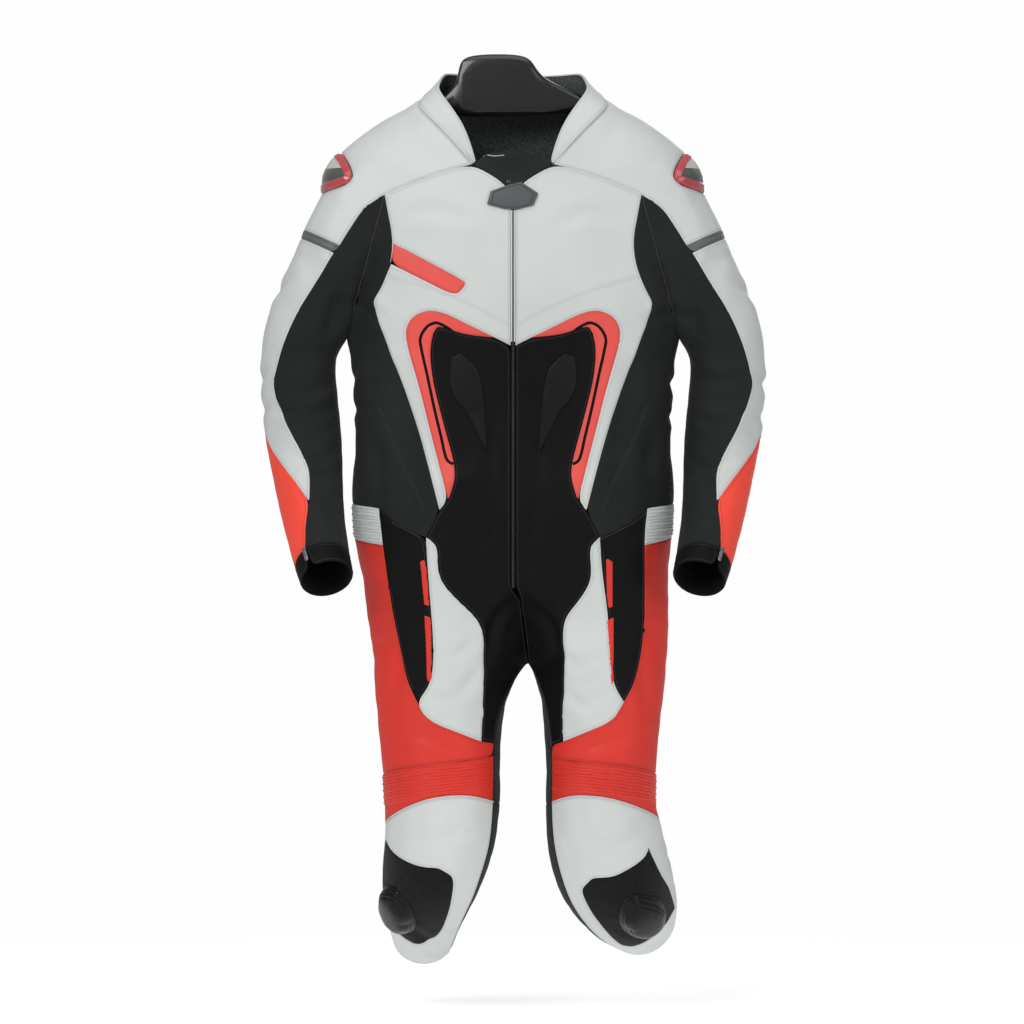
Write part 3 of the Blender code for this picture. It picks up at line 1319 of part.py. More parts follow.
def closed(points, step=3.0):
    """A closed outline with straight sides, sampled densely."""
    out = []
    for a, b in zip(points, points[1:] + points[:1]):
        a, b = np.array(a, float), np.array(b, float)
        count = max(2, int(np.linalg.norm(b - a) / step))
        out.append(a + (b - a) * np.linspace(0, 1, count, endpoint=False)[:, None])
    return np.vstack(out)


def closed_spline(points, step=3.0):
    """A smooth closed outline through the points."""
    dense = spline([*points[-2:], *points, *points[:2]], step)
    at_start = np.linalg.norm(dense - np.array(points[0], float), axis=1) < 1e-6
    first, last = np.flatnonzero(at_start)
    return dense[first:last]


def thin_loop(loop, sag=SEAM_SAG):
    whole = np.vstack([loop, loop[:1]])
    half = len(loop) // 2
    return join(thin_out(whole[:half + 1], sag), thin_out(whole[half:], sag))


def tube_loop(tube, centre, size, sides):
    """A closed round outline on a limb: centre (distance, direction), half sizes in mm."""
    angle = np.linspace(0, 2 * math.pi, sides, endpoint=False)
    radius = float(np.interp(centre[0], tube.dist, tube.deep))
    down = centre[0] + size[0] * np.cos(angle)
    turn = centre[1] + np.degrees(size[1] / radius) * np.sin(angle)
    return tube_points(tube, down, turn)


def main():
    for old in list(bpy.data.objects):
        bpy.data.objects.remove(old, do_unlink=True)
    suit = Suit()
    suit.build()
    for mark in "rl":
        Leg(suit, mark).build()
    build_cuff_zips()
    build_hanger(suit.yokes[0])


if __name__ == "__main__":
    main()
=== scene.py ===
"""Leather race suit on a hanger: panels, seams, armour, zips and stage."""
import math

import bmesh
import bpy
import numpy as np
from bpy.props import FloatProperty, FloatVectorProperty, PointerProperty
from mathutils import Matrix, Vector
from mathutils.bvhtree import BVHTree
from mathutils.geometry import delaunay_2d_cdt
from mathutils.kdtree import KDTree


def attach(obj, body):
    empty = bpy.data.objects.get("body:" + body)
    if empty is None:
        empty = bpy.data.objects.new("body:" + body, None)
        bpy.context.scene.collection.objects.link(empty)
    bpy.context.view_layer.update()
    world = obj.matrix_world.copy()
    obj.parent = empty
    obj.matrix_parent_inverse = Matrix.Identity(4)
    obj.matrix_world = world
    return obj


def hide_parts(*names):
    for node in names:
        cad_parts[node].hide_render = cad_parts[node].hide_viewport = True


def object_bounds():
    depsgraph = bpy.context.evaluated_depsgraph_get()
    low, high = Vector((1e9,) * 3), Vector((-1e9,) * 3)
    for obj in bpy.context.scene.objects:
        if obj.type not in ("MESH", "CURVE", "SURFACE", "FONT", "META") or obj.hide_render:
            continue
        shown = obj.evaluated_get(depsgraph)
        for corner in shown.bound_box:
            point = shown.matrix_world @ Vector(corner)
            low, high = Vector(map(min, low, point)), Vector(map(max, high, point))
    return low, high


bl_info = {
    "name": "Leather Race Suit",
    "version": (1, 0, 0),
    "blender": (4, 5, 0),
    "location": "View3D > Sidebar > Race Suit",
    "description": "Builds a one-piece leather race suit on its hanger, piece by piece",
    "category": "Add Mesh",
}

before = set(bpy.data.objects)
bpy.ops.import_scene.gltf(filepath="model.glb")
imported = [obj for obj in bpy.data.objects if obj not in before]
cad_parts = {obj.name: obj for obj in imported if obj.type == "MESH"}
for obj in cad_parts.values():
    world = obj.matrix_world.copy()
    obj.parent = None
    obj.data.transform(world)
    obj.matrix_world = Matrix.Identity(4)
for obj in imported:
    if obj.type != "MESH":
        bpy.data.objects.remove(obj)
CAD_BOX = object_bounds()
SUIT = "suit"
MM = 0.001


# ---------------------------------------------------------------- sizes and colours
def colour(name, what, value):
    return FloatVectorProperty(name=name, description=what, subtype="COLOR", size=3,
                               min=0.0, max=1.0, default=value)


def length(name, what, value):
    return FloatProperty(name=name, description=what, default=value, min=0.0,
                         subtype="DISTANCE", unit="LENGTH")


class LeatherSettings(bpy.types.PropertyGroup):
    white: colour("White", "Colour of the white leather", (0.575, 0.605, 0.59))
    red: colour("Leg red", "Colour of the red leather on the legs", (0.66, 0.031, 0.019))
    red_light: colour("Sleeve red", "Colour of the red leather on the sleeves",
                      (0.98, 0.074, 0.043))
    red_soft: colour("Bracket red", "Colour of the red brackets and chest bar",
                     (0.76, 0.084, 0.068))
    black: colour("Black", "Colour of the black leather", (0.0060, 0.0061, 0.0060))
    grey: colour("Band grey", "Colour of the bands on the sleeves", (0.125, 0.137, 0.142))
    stretch: colour("Stretch black", "Colour of the stretch cloth", (0.0150, 0.0178, 0.0165))
    lining: colour("Lining", "Colour of the inside", (0.125, 0.138, 0.136))
    grain: length("Grain", "Width of one pebble of the leather's grain", 0.0011)
    rib: length("Stretch rib", "Spacing of the fine ribs of the stretch cloth", 0.0022)
    spacing: length("Mesh spacing", "Spacing of the points of a finished panel", 0.0046)
    roll: length("Seam roll", "How far the edges are turned down at a seam", 0.0011)


class RibSettings(bpy.types.PropertyGroup):
    knee_pitch: length("Knee rib pitch", "Spacing of the ribs above the knee", 0.0046)
    knee_rise: length("Knee rib rise", "Height of the ribs above the knee", 0.0021)
    knee_depth: length("Knee rib zone", "How far down the ribs above the knee run", 0.050)
    hip_pitch: length("Hip rib pitch", "Spacing of the ribs at the hip", 0.0047)
    hip_rise: length("Hip rib rise", "Height of the ribs at the hip", 0.0021)


class StitchSettings(bpy.types.PropertyGroup):
    pitch: length("Pitch", "Distance from stitch to stitch", 0.0040)
    long: length("Length", "Length of one stitch", 0.0030)
    thick: length("Thickness", "Thickness of the thread", 0.00075)
    inset: length("Inset", "Distance of the stitches from the seam", 0.0034)


class ArmourSettings(bpy.types.PropertyGroup):
    slider: colour("Slider red", "Colour of the shoulder sliders", (0.47, 0.045, 0.052))
    window: colour("Window", "Colour of the sliders' windows", (0.06, 0.065, 0.065))
    puck: colour("Puck", "Colour of the knee sliders", (0.0060, 0.0060, 0.0058))
    pad: colour("Pad", "Colour of the hook-and-loop field", (0.0048, 0.0049, 0.0048))
    tab: colour("Zip cover", "Colour of the cover over the zip's top", (0.080, 0.088, 0.094))


class HangerSettings(bpy.types.PropertyGroup):
    black: colour("Hanger", "Colour of the hanger", (0.010, 0.0105, 0.0105))
    metal: colour("Zip metal", "Colour of the zips' metal", (0.30, 0.30, 0.31))


class StageSettings(bpy.types.PropertyGroup):
    away: length("Camera distance", "Distance of the camera from the suit", 12.0)
    across: length("Frame width", "Width that the camera takes in at the suit", 1.5155)
    key: FloatProperty(name="Key light", description="Power of the main light", default=85.0,
                       min=0.0, subtype="POWER", unit="POWER")
    floor: colour("Floor", "Colour of the floor", (0.72, 0.72, 0.72))
    reach: length("Floor radius", "Distance at which the floor has faded out", 2.6)


GROUPS = {"leather": LeatherSettings, "ribs": RibSettings, "stitch": StitchSettings,
          "armour": ArmourSettings, "hanger": HangerSettings, "stage": StageSettings}


def settings(name):
    return getattr(bpy.context.scene, "race_suit_" + name)


# ---------------------------------------------------------------- tables (mm)
# the limbs' and the trunk's middle lines, to tell a panel's outside from its inside
MIDDLE_LINES = {
    "trunk": [(0, 0, -40), (0, 0, -780)],
    "arm": [(-60, 0, -150), (-162, 0, -206), (-240, 0, -280), (-316, 0, -418), (-312, 2, -530),
            (-302, -30, -634), (-284, -102, -735), (-268, -146, -792)],
    "leg_r": [(-108, 0, -660), (-100, 0, -880), (-106, 0, -1110), (-117, 22, -1204),
              (-127, 72, -1246), (-136, 198, -1326)],
    "leg_l": [(112, 0, -660), (128, 0, -880), (130, 0, -1110), (148, 22, -1206),
              (166, 74, -1246), (194, 204, -1302)],
}

# panel: node, wall (mm), finish, middle line, stitched
BOTH_SIDES = [
    ("shoulder", 2.0, "white", "arm", True),
    ("sleeve_band", 2.0, "grey", "arm", True),
    ("sleeve_upper", 2.0, "white", "arm", True),
    ("sleeve_forearm", 2.0, "red_light", "arm", True),
    ("sleeve_stretch", 2.0, "stretch", "arm", False),
    ("cuff", 2.0, "black", "arm", True),
    ("chest", 2.0, "white", "trunk", True),
    ("bracket", 2.0, "red_soft", "trunk", False),
    ("front_lower", 2.0, "black", "trunk", True),
    ("side_stretch", 2.0, "stretch", "trunk", False),
    ("thigh_panel", 2.0, "black", "leg", True),
    ("thigh_white", 2.0, "white", "leg", True),
    ("thigh_red", 2.0, "red", "leg", True),
    ("knee", 2.0, "white", "leg", True),
    ("knee_pad", 3.0, "pad", "leg", False),
    ("calf", 2.0, "stretch", "leg", False),
    ("seat_leg", 2.0, "stretch", "leg", False),
]
SINGLE = [
    ("back_upper", 2.0, "white", "trunk", True),
    ("back_lower", 2.0, "stretch", "trunk", False),
    ("collar", 2.6, "white", "trunk", True),
    ("chest_bar", 2.0, "red_soft", "trunk", False),
    ("neck_flap", 2.0, "flap", "trunk", False),
]
RIBBED = [("accordion", "red", "knee"), ("hip_ribs", "white", "hip")]

# creases: seen from (front, back, or the outer side), middle line, width, depth (ridges < 0)
CREASES = [
    # where the sleeves leave the chest
    ("front", [(-205, -300), (-222, -345), (-228, -400)], 16, 5.0),
    ("front", [(-236, -330), (-262, -382), (-276, -440)], 18, 4.0),
    ("front", [(-196, -390), (-226, -372), (-262, -372)], 14, 3.5),
    ("front", [(206, -300), (224, -350), (228, -404)], 15, 4.5),
    ("front", [(240, -318), (264, -372), (272, -430)], 18, 4.0),
    ("front", [(200, -396), (232, -384), (266, -392)], 13, 3.0),
    # sleeves: elbows and forearms
    ("front", [(-262, -478), (-296, -500), (-336, -498)], 15, 3.0),
    ("front", [(-264, -520), (-300, -538), (-342, -528)], 13, 2.6),
    ("front", [(-262, -588), (-292, -604), (-322, -598)], 12, 2.2),
    ("front", [(266, -470), (300, -486), (342, -474)], 15, 3.2),
    ("front", [(262, -530), (296, -548), (334, -536)], 13, 2.4),
    ("front", [(258, -596), (286, -612), (318, -604)], 12, 2.4),
    ("side_r", [(-40, -330), (-5, -352), (36, -340)], 16, 2.6),
    ("side_r", [(-30, -470), (10, -486), (48, -470)], 15, 3.2),
    ("side_r", [(-44, -520), (0, -528), (40, -512)], 13, 2.6),
    ("side_l", [(-44, -340), (0, -360), (40, -350)], 16, 2.8),
    ("side_l", [(-34, -478), (6, -492), (46, -478)], 15, 3.0),
    ("side_l", [(-46, -536), (-6, -540), (36, -520)], 13, 2.4),
    # front of the trunk
    ("front", [(-168, -470), (-150, -560), (-146, -660)], 22, 3.0),
    ("front", [(172, -470), (156, -570), (150, -668)], 22, 3.4),
    ("front", [(-26, -520), (-34, -620), (-30, -720)], 15, 2.2),
    ("front", [(30, -500), (36, -610), (28, -716)], 16, 2.4),
    ("front", [(-214, -560), (-196, -612), (-200, -668)], 17, 3.0),
    ("front", [(218, -548), (198, -604), (204, -664)], 17, 2.6),
    ("front", [(-70, -250), (-110, -236), (-150, -240)], 18, 1.6),
    ("front", [(60, -262), (104, -240), (150, -246)], 19, 1.8),
    ("front", [(-34, -700), (-60, -752), (-66, -806)], 15, 2.6),
    ("front", [(48, -706), (74, -760), (86, -812)], 15, 2.8),
    # crotch and thighs
    ("front", [(10, -800), (-26, -838), (-38, -900)], 13, 3.0),
    ("front", [(22, -812), (58, -850), (66, -910)], 13, 3.0),
    ("front", [(-58, -868), (-88, -892), (-112, -886)], 13, 2.2),
    ("front", [(-56, -920), (-84, -950), (-116, -950)], 14, 2.4),
    ("front", [(70, -884), (98, -906), (122, -892)], 13, 2.2),
    ("front", [(74, -944), (104, -962), (134, -948)], 14, 2.2),
    ("front", [(-186, -840), (-168, -900), (-172, -960)], 16, 2.2),
    ("front", [(-150, -1000), (-110, -1016), (-70, -1040)], 14, 1.8),
    ("front", [(196, -850), (190, -910), (198, -972)], 16, 2.4),
    ("front", [(84, -1046), (120, -1022), (168, -1010)], 14, 1.8),
    # knees and shins
    ("front", [(-164, -1150), (-120, -1162), (-72, -1146)], 18, 2.0),
    ("front", [(94, -1156), (146, -1170), (190, -1150)], 18, 2.0),
    ("front", [(-150, -1300), (-118, -1318), (-92, -1298)], 10, 2.6),
    ("front", [(-140, -1330), (-116, -1340), (-98, -1324)], 8, 2.0),
    ("front", [(150, -1290), (186, -1308), (216, -1292)], 11, 2.4),
    # back: shoulder blades, waist, seat and behind the knees
    ("back", [(-150, -200), (-120, -262), (-118, -330)], 24, 3.0),
    ("back", [(146, -206), (122, -266), (124, -340)], 24, 3.2),
    ("back", [(-90, -130), (0, -146), (92, -132)], 22, 2.4),
    ("back", [(-150, -452), (-70, -470), (10, -462)], 17, 3.4),
    ("back", [(20, -492), (90, -506), (160, -486)], 16, 3.2),
    ("back", [(-140, -540), (-60, -556), (20, -548)], 16, 2.8),
    ("back", [(-24, -600), (60, -612), (140, -596)], 15, 2.6),
    ("back", [(-150, -790), (-108, -822), (-58, -812)], 15, 3.8),
    ("back", [(64, -812), (112, -824), (160, -792)], 15, 3.6),
    ("back", [(-150, -1090), (-104, -1106), (-62, -1092)], 14, 4.2),
    ("back", [(-146, -1140), (-106, -1150), (-66, -1136)], 12, 3.8),
    ("back", [(90, -1096), (134, -1110), (176, -1092)], 14, 4.0),
    ("back", [(94, -1142), (138, -1152), (178, -1136)], 12, 3.6),
    ("back", [(-290, -470), (-316, -486), (-346, -474)], 14, 3.0),
    ("back", [(286, -478), (314, -494), (344, -480)], 14, 3.2),
    ("back", [(-230, -300), (-244, -352), (-262, -400)], 17, 3.6),
    ("back", [(228, -306), (246, -356), (262, -408)], 17, 3.8),
]

# fine sizes in metres
CREASE_GAIN = 1.25           # a factor: how much deeper each crease is than its row says
RIM_PUSH = 0.00018           # panels' edges pushed out, so that neighbours meet
ROLL_WIDTH = 0.0011          # how wide the turned-down edge is
STITCH_SINK = 0.0003         # depth of the groove that the stitches pull in
SEAM_REACH = 0.0030          # how far the dirt and wear of a seam reach
FOREARM_STITCH_END = -0.735  # height below which the forearms have no stitches
STRIP_WALL = 0.0008          # thickness of stripes laid on the leather
RIB_WALL = 1.6               # mm, wall of the ribbed leather
PLEAT_NET = (0.0035, 0.00075)    # spacing of the ribbed leather's points, along and across
SHELL_WALL = 2.5             # mm, wall of the moulded sliders
SHELL_VOXEL = 0.0010         # mesh size of the moulded sliders
WINDOW_EDGE = 12.5           # mm from a shoulder slider's edge to its window
ZIP_CHEST_END = -0.43        # height at which the zip's edging turns from white to black
ZIP_TEETH_TOP = -0.240       # height of the uppermost tooth, under the cover
LEAST_FILL = 0.32            # least share of its box that a pattern is taken to fill

# stitched lines that are not seams, and coloured inlays, on the wearer's right; x, z
CHEST_LINE = [(-186, -331), (-120, -352), (-60, -376), (-6, -404)]
SIDE_LINE = [(-198, -524), (-170, -590), (-146, -640), (-131, -676)]
HIP_LINE = [(-176, -694), (-140, -712), (-111, -724)]
BRACKET_LINE = [(-88, -609), (-98, -600), (-106, -567), (-116, -525), (-126, -478),
                (-134, -442), (-136, -424), (-127, -408), (-114, -401.5), (-103, -405),
                (-93, -411), (-86, -417)]
COVER_BORDER = [(-33, -209), (-9, -200), (12, -195), (37, -212), (30, -229), (9, -235),
                (-12, -235), (-38, -228)]
TAPE_SECTION = [(-3.3, -2.0), (-3.3, -1.0), (-1.0, -1.0), (-0.9, -0.4), (0.9, -0.4), (1.0, -1.0),
                (3.3, -1.0), (3.3, -2.0)]
EDGE_SECTION = [(3.35, -1.6), (3.2, -0.75), (2.6, -0.5), (1.6, -0.45), (1.05, -0.6), (0.85, -1.1),
                (1.0, -1.7)]
THIGH_STRIPES = {
    "r": [[(-136.5, -752), (-128.5, -748), (-121.5, -818), (-130.5, -815)],
          [(-130, -831), (-120.5, -834), (-118.5, -922), (-126, -936)]],
    "l": [[(136.5, -746), (146.5, -752), (146.5, -818), (138, -822)],
          [(138, -839), (148, -832), (148, -932), (145, -945)]],
}


# ---------------------------------------------------------------- small helpers
def deselect():
    """Leave edit mode, with nothing selected."""
    if bpy.context.object and bpy.context.object.mode != "OBJECT":
        bpy.ops.object.mode_set(mode="OBJECT")
    bpy.ops.object.select_all(action="DESELECT")


def activate(obj):
    deselect()
    obj.select_set(True)
    bpy.context.view_layer.objects.active = obj


def apply_modifiers(obj):
    activate(obj)
    for mod in list(obj.modifiers):
        bpy.ops.object.modifier_apply(modifier=mod.name)


def add_subdivision(obj, levels):
    mod = obj.modifiers.new("Subdivision", "SUBSURF")
    mod.levels = mod.render_levels = levels
    return mod


def new_object(name, mesh):
    obj = bpy.data.objects.new(name, mesh)
    bpy.context.scene.collection.objects.link(obj)
    return obj


def mesh_object(name, points, faces):
    mesh = bpy.data.meshes.new(name)
    mesh.from_pydata([tuple(p) for p in points], [], [tuple(f) for f in faces])
    mesh.update()
    return new_object(name, mesh)


def points_of(mesh):
    out = np.empty(len(mesh.vertices) * 3)
    mesh.vertices.foreach_get("co", out)
    return out.reshape(-1, 3)


def set_points(mesh, points):
    mesh.vertices.foreach_set("co", np.ascontiguousarray(points, float).ravel())
    mesh.update()


def normals_of(mesh):
    out = np.empty(len(mesh.vertices) * 3)
    mesh.vertex_normals.foreach_get("vector", out)
    return out.reshape(-1, 3)


def faces_of(mesh):
    return [tuple(face.vertices) for face in mesh.polygons]


def in_edit_mode(obj, operator, **values):
    """Run one edit-mode operator on the whole of a mesh."""
    activate(obj)
    bpy.ops.object.mode_set(mode="EDIT")
    bpy.ops.mesh.select_all(action="SELECT")
    operator(**values)
    bpy.ops.object.mode_set(mode="OBJECT")


def face_outward(obj):
    in_edit_mode(obj, bpy.ops.mesh.normals_make_consistent, inside=False)


def unit(rows):
    """The rows' directions, with length one."""
    return rows / (np.linalg.norm(rows, axis=-1, keepdims=True) + 1e-12)


def run_along(line):
    """How far along a line of points each of them is."""
    return np.concatenate([[0], np.cumsum(np.linalg.norm(np.diff(line, axis=0), axis=1))])


def between(rows, run, at):
    """Rows of numbers read off at places along a line."""
    return np.stack([np.interp(at, run, rows[:, k]) for k in range(rows.shape[1])], axis=1)


def at_level(places):
    """Flat places as points at height nought."""
    return np.hstack([places, np.zeros((len(places), 1))])


def point_tree(points):
    tree = KDTree(len(points))
    for index, point in enumerate(points):
        tree.insert(point, index)
    tree.balance()
    return tree


def gaps_to(tree, points):
    """Distance of each point from the nearest one in a search tree."""
    return np.array([tree.find(Vector(p))[2] for p in points])


def surface_tree(points, faces):
    return BVHTree.FromPolygons([Vector(p) for p in points], faces)


def dress(obj, material, slot, *nodes, body=SUIT):
    """Give a finished piece its material, its body and the nodes that it stands for."""
    if material:
        obj.data.materials.clear()
        obj.data.materials.append(material)
    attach(obj, body)
    if nodes:
        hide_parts(*nodes)
    return obj


def smooth(obj, angle=40.0):
    activate(obj)
    bpy.ops.object.shade_smooth_by_angle(angle=math.radians(angle))


def curve_through(points, step):
    """A smooth line through the points, sampled about every step."""
    pts = np.asarray(points, float)
    ends = np.vstack([2 * pts[0] - pts[1], pts, 2 * pts[-1] - pts[-2]])
    out = []
    for p0, p1, p2, p3 in zip(ends, ends[1:], ends[2:], ends[3:]):
        count = max(2, int(np.linalg.norm(p2 - p1) / step) + 1)
        t = np.linspace(0, 1, count, endpoint=False)[:, None]
        out.append(0.5 * (2 * p1 + (p2 - p0) * t + (2 * p0 - 5 * p1 + 4 * p2 - p3) * t**2
                          + (3 * p1 - p0 - 3 * p2 + p3) * t**3))
    return np.vstack(out + [pts[-1:]])


# ---------------------------------------------------------------- materials
class Nodes:
    """A short way to wire a procedural material."""

    def __init__(self, name):
        self.material = bpy.data.materials.new(name)
        self.material.use_nodes = True
        self.tree = self.material.node_tree
        self.shader = self.tree.nodes["Principled BSDF"]
        self.place = self.add("ShaderNodeTexCoord").outputs["Object"]

    def add(self, kind, **values):
        """A node with its settings and the values of its sockets."""
        node = self.tree.nodes.new(kind)
        for key, value in values.items():
            if hasattr(node, key):
                setattr(node, key, value)
            else:
                node.inputs[key.replace("_", " ")].default_value = value
        return node

    def link(self, out, into):
        self.tree.links.new(out, into)
        return out

    def noise(self, scale, detail=3.0, rough=0.5):
        node = self.add("ShaderNodeTexNoise", Scale=scale, Detail=detail, Roughness=rough)
        self.link(self.place, node.inputs["Vector"])
        return node.outputs["Fac"]

    def cells(self, scale, feature="F1"):
        node = self.add("ShaderNodeTexVoronoi", feature=feature, Scale=scale)
        self.link(self.place, node.inputs["Vector"])
        return node.outputs["Distance"]

    def waves(self, scale, direction, distort):
        node = self.add("ShaderNodeTexWave", bands_direction=direction, Scale=scale,
                        Distortion=distort)
        self.link(self.place, node.inputs["Vector"])
        return node.outputs["Fac"]

    def ranged(self, value, low, high, to_low, to_high):
        """One range of numbers turned into another."""
        node = self.add("ShaderNodeMapRange")
        self.link(value, node.inputs["Value"])
        for key, number in (("From Min", low), ("From Max", high), ("To Min", to_low),
                            ("To Max", to_high)):
            node.inputs[key].default_value = number
        return node.outputs["Result"]

    def mixed(self, factor, first, second):
        """A mix of two colours, each a socket or three numbers."""
        node = self.add("ShaderNodeMix", data_type="RGBA")
        self.link(factor, node.inputs["Factor"])
        for value, index in ((first, 6), (second, 7)):
            if isinstance(value, bpy.types.NodeSocket):
                self.link(value, node.inputs[index])
            else:
                node.inputs[index].default_value = (*value, 1.0)
        return node.outputs[2]

    def times(self, first, second, operation="MULTIPLY"):
        """Two values multiplied, or joined by another operation."""
        node = self.add("ShaderNodeMath", operation=operation)
        for value, socket in ((first, node.inputs[0]), (second, node.inputs[1])):
            if isinstance(value, (int, float)):
                socket.default_value = value
            else:
                self.link(value, socket)
        return node.outputs[0]

    def attribute(self, name):
        return self.add("ShaderNodeAttribute", attribute_name=name).outputs["Fac"]

    def bump(self, *layers):
        """Bumps one on another: (height, strength, distance)."""
        last = None
        for height, strength, distance in layers:
            node = self.add("ShaderNodeBump", Strength=strength, Distance=distance)
            self.link(height, node.inputs["Height"])
            if last:
                self.link(last, node.inputs["Normal"])
            last = node.outputs["Normal"]
        self.link(last, self.shader.inputs["Normal"])

    def set(self, **values):
        for key, value in values.items():
            self.shader.inputs[key.replace("_", " ")].default_value = value


def shade(base, factor):
    """A colour made lighter or darker, by one factor or by three."""
    factors = factor if isinstance(factor, tuple) else (factor,) * 3
    return tuple(min(1.0, c * f) for c, f in zip(base, factors))


def leather(name, base, rough=0.46, mottle=0.10, dirt=0.14, grain=1.0, spec=0.35):
    """Coated cowhide: pebbled grain, faint clouding, darker and duller along the seams."""
    n = Nodes(name)
    size = settings("leather").grain
    clouds = n.noise(7.0, 4.0, 0.55)
    fine = n.noise(60.0, 3.0, 0.6)
    tone = n.mixed(n.ranged(clouds, 0.35, 0.68, 0.0, 1.0),
                   shade(base, 1.0 - mottle), shade(base, 1.03))
    tone = n.mixed(n.ranged(fine, 0.45, 0.75, 0.0, 0.35), tone, shade(base, 1.0 - 0.5 * mottle))
    seam = n.attribute("seam")
    worn = n.times(seam, n.ranged(n.noise(25.0, 2.0), 0.3, 0.7, 0.45, 1.0))
    grime = shade(base, (1 - dirt, 1 - dirt * 1.05, 1 - dirt * 1.15))
    tone = n.mixed(n.ranged(worn, 0.0, 1.0, 0.0, 1.0), tone, grime)
    n.link(tone, n.shader.inputs["Base Color"])
    n.link(n.ranged(n.times(fine, clouds, "ADD"), 0.6, 1.4, rough - 0.07, rough + 0.10),
           n.shader.inputs["Roughness"])
    pebble = n.cells(1.0 / size, "SMOOTH_F1")
    n.bump((n.noise(22.0, 3.0), 0.10, 0.004),
           (n.noise(0.55 / size, 4.0, 0.6), 0.22 * grain, 0.0006),
           (pebble, 0.30 * grain, 0.0005))
    n.set(Specular_IOR_Level=spec)
    return n.material


def stretch_cloth(name, base):
    """Matt aramid stretch: fine level ribs crossed by a knit."""
    n = Nodes(name)
    pitch = settings("leather").rib
    clouds = n.noise(6.0, 4.0, 0.6)
    ribs = n.waves(math.pi / (10.0 * pitch), "Z", 0.6)
    tone = n.mixed(n.ranged(clouds, 0.3, 0.7, 0.0, 1.0), shade(base, 0.80), shade(base, 1.45))
    tone = n.mixed(n.ranged(ribs, 0.0, 1.0, 0.0, 0.5), tone, shade(base, 0.6))
    n.link(tone, n.shader.inputs["Base Color"])
    n.link(n.ranged(clouds, 0.2, 0.8, 0.72, 0.88), n.shader.inputs["Roughness"])
    n.bump((n.noise(30.0, 3.0), 0.15, 0.003), (ribs, 0.55, 0.0009),
           (n.noise(1400.0, 2.0, 0.7), 0.30, 0.0004))
    n.set(Sheen_Weight=0.05, Sheen_Roughness=0.45, Specular_IOR_Level=0.14)
    return n.material


def lining_cloth(name, base):
    """Inside: open mesh over a plain black ground."""
    n = Nodes(name)
    holes = n.cells(420.0, "F1")
    tone = n.mixed(n.ranged(holes, 0.2, 0.6, 0.0, 1.0), shade(base, 1.5), shade(base, 0.7))
    n.link(tone, n.shader.inputs["Base Color"])
    n.bump((holes, 0.4, 0.0008), (n.noise(900.0), 0.2, 0.0004))
    n.set(Roughness=0.92, Sheen_Weight=0.04, Specular_IOR_Level=0.1)
    return n.material


def pile_cloth(name, base):
    """Short looped pile of a hook-and-loop field."""
    n = Nodes(name)
    loops = n.cells(900.0, "F1")
    lumps = n.noise(240.0, 4.0, 0.7)
    tone = n.mixed(n.ranged(lumps, 0.35, 0.65, 0.0, 1.0), shade(base, 0.6), shade(base, 1.8))
    n.link(tone, n.shader.inputs["Base Color"])
    n.bump((lumps, 0.6, 0.0012), (loops, 0.6, 0.0006))
    n.set(Roughness=0.9, Sheen_Weight=0.08, Sheen_Roughness=0.5, Specular_IOR_Level=0.12)
    return n.material


def plastic(name, base, rough=0.10, coat=0.6, scuff=0.5, ripple=0.06, spec=0.5):
    """Moulded plastic: soft ripple of the mould, and scuffs that dull the gloss."""
    n = Nodes(name)
    scratch = n.noise(90.0, 6.0, 0.75)
    tone = n.mixed(n.ranged(n.noise(14.0, 3.0), 0.3, 0.7, 0.0, 1.0),
                   shade(base, 0.88), shade(base, 1.12))
    n.link(tone, n.shader.inputs["Base Color"])
    n.link(n.ranged(scratch, 0.48, 0.78, rough, rough + 0.35 * scuff), n.shader.inputs["Roughness"])
    n.bump((n.noise(30.0, 2.0), ripple, 0.003), (scratch, 0.05, 0.0003))
    n.set(Coat_Weight=coat, Coat_Roughness=0.06, Specular_IOR_Level=spec)
    return n.material


def metal(name, base, rough=0.3):
    """Cast zip metal, rubbed bright in places."""
    n = Nodes(name)
    wear = n.noise(400.0, 4.0, 0.6)
    n.link(n.mixed(n.ranged(wear, 0.3, 0.7, 0.0, 1.0), shade(base, 0.6), shade(base, 1.25)),
           n.shader.inputs["Base Color"])
    n.link(n.ranged(wear, 0.3, 0.7, rough, rough + 0.2), n.shader.inputs["Roughness"])
    n.bump((wear, 0.15, 0.0003))
    n.set(Metallic=1.0)
    return n.material


def thread(name, base):
    """Twisted sewing thread."""
    n = Nodes(name)
    twist = n.waves(900.0, "DIAGONAL", 1.0)
    n.link(n.mixed(twist, shade(base, 0.75), shade(base, 1.15)), n.shader.inputs["Base Color"])
    n.bump((twist, 0.3, 0.0002))
    n.set(Roughness=0.7, Sheen_Weight=0.2)
    return n.material


MATERIALS = {}
SLOTS = {"white": "leather_white", "red": "leather_red", "red_light": "leather_red",
         "red_soft": "leather_red", "black": "leather_black", "grey": "band_grey",
         "stretch": "stretch_black", "pad": "stretch_black", "flap": "stretch_black"}


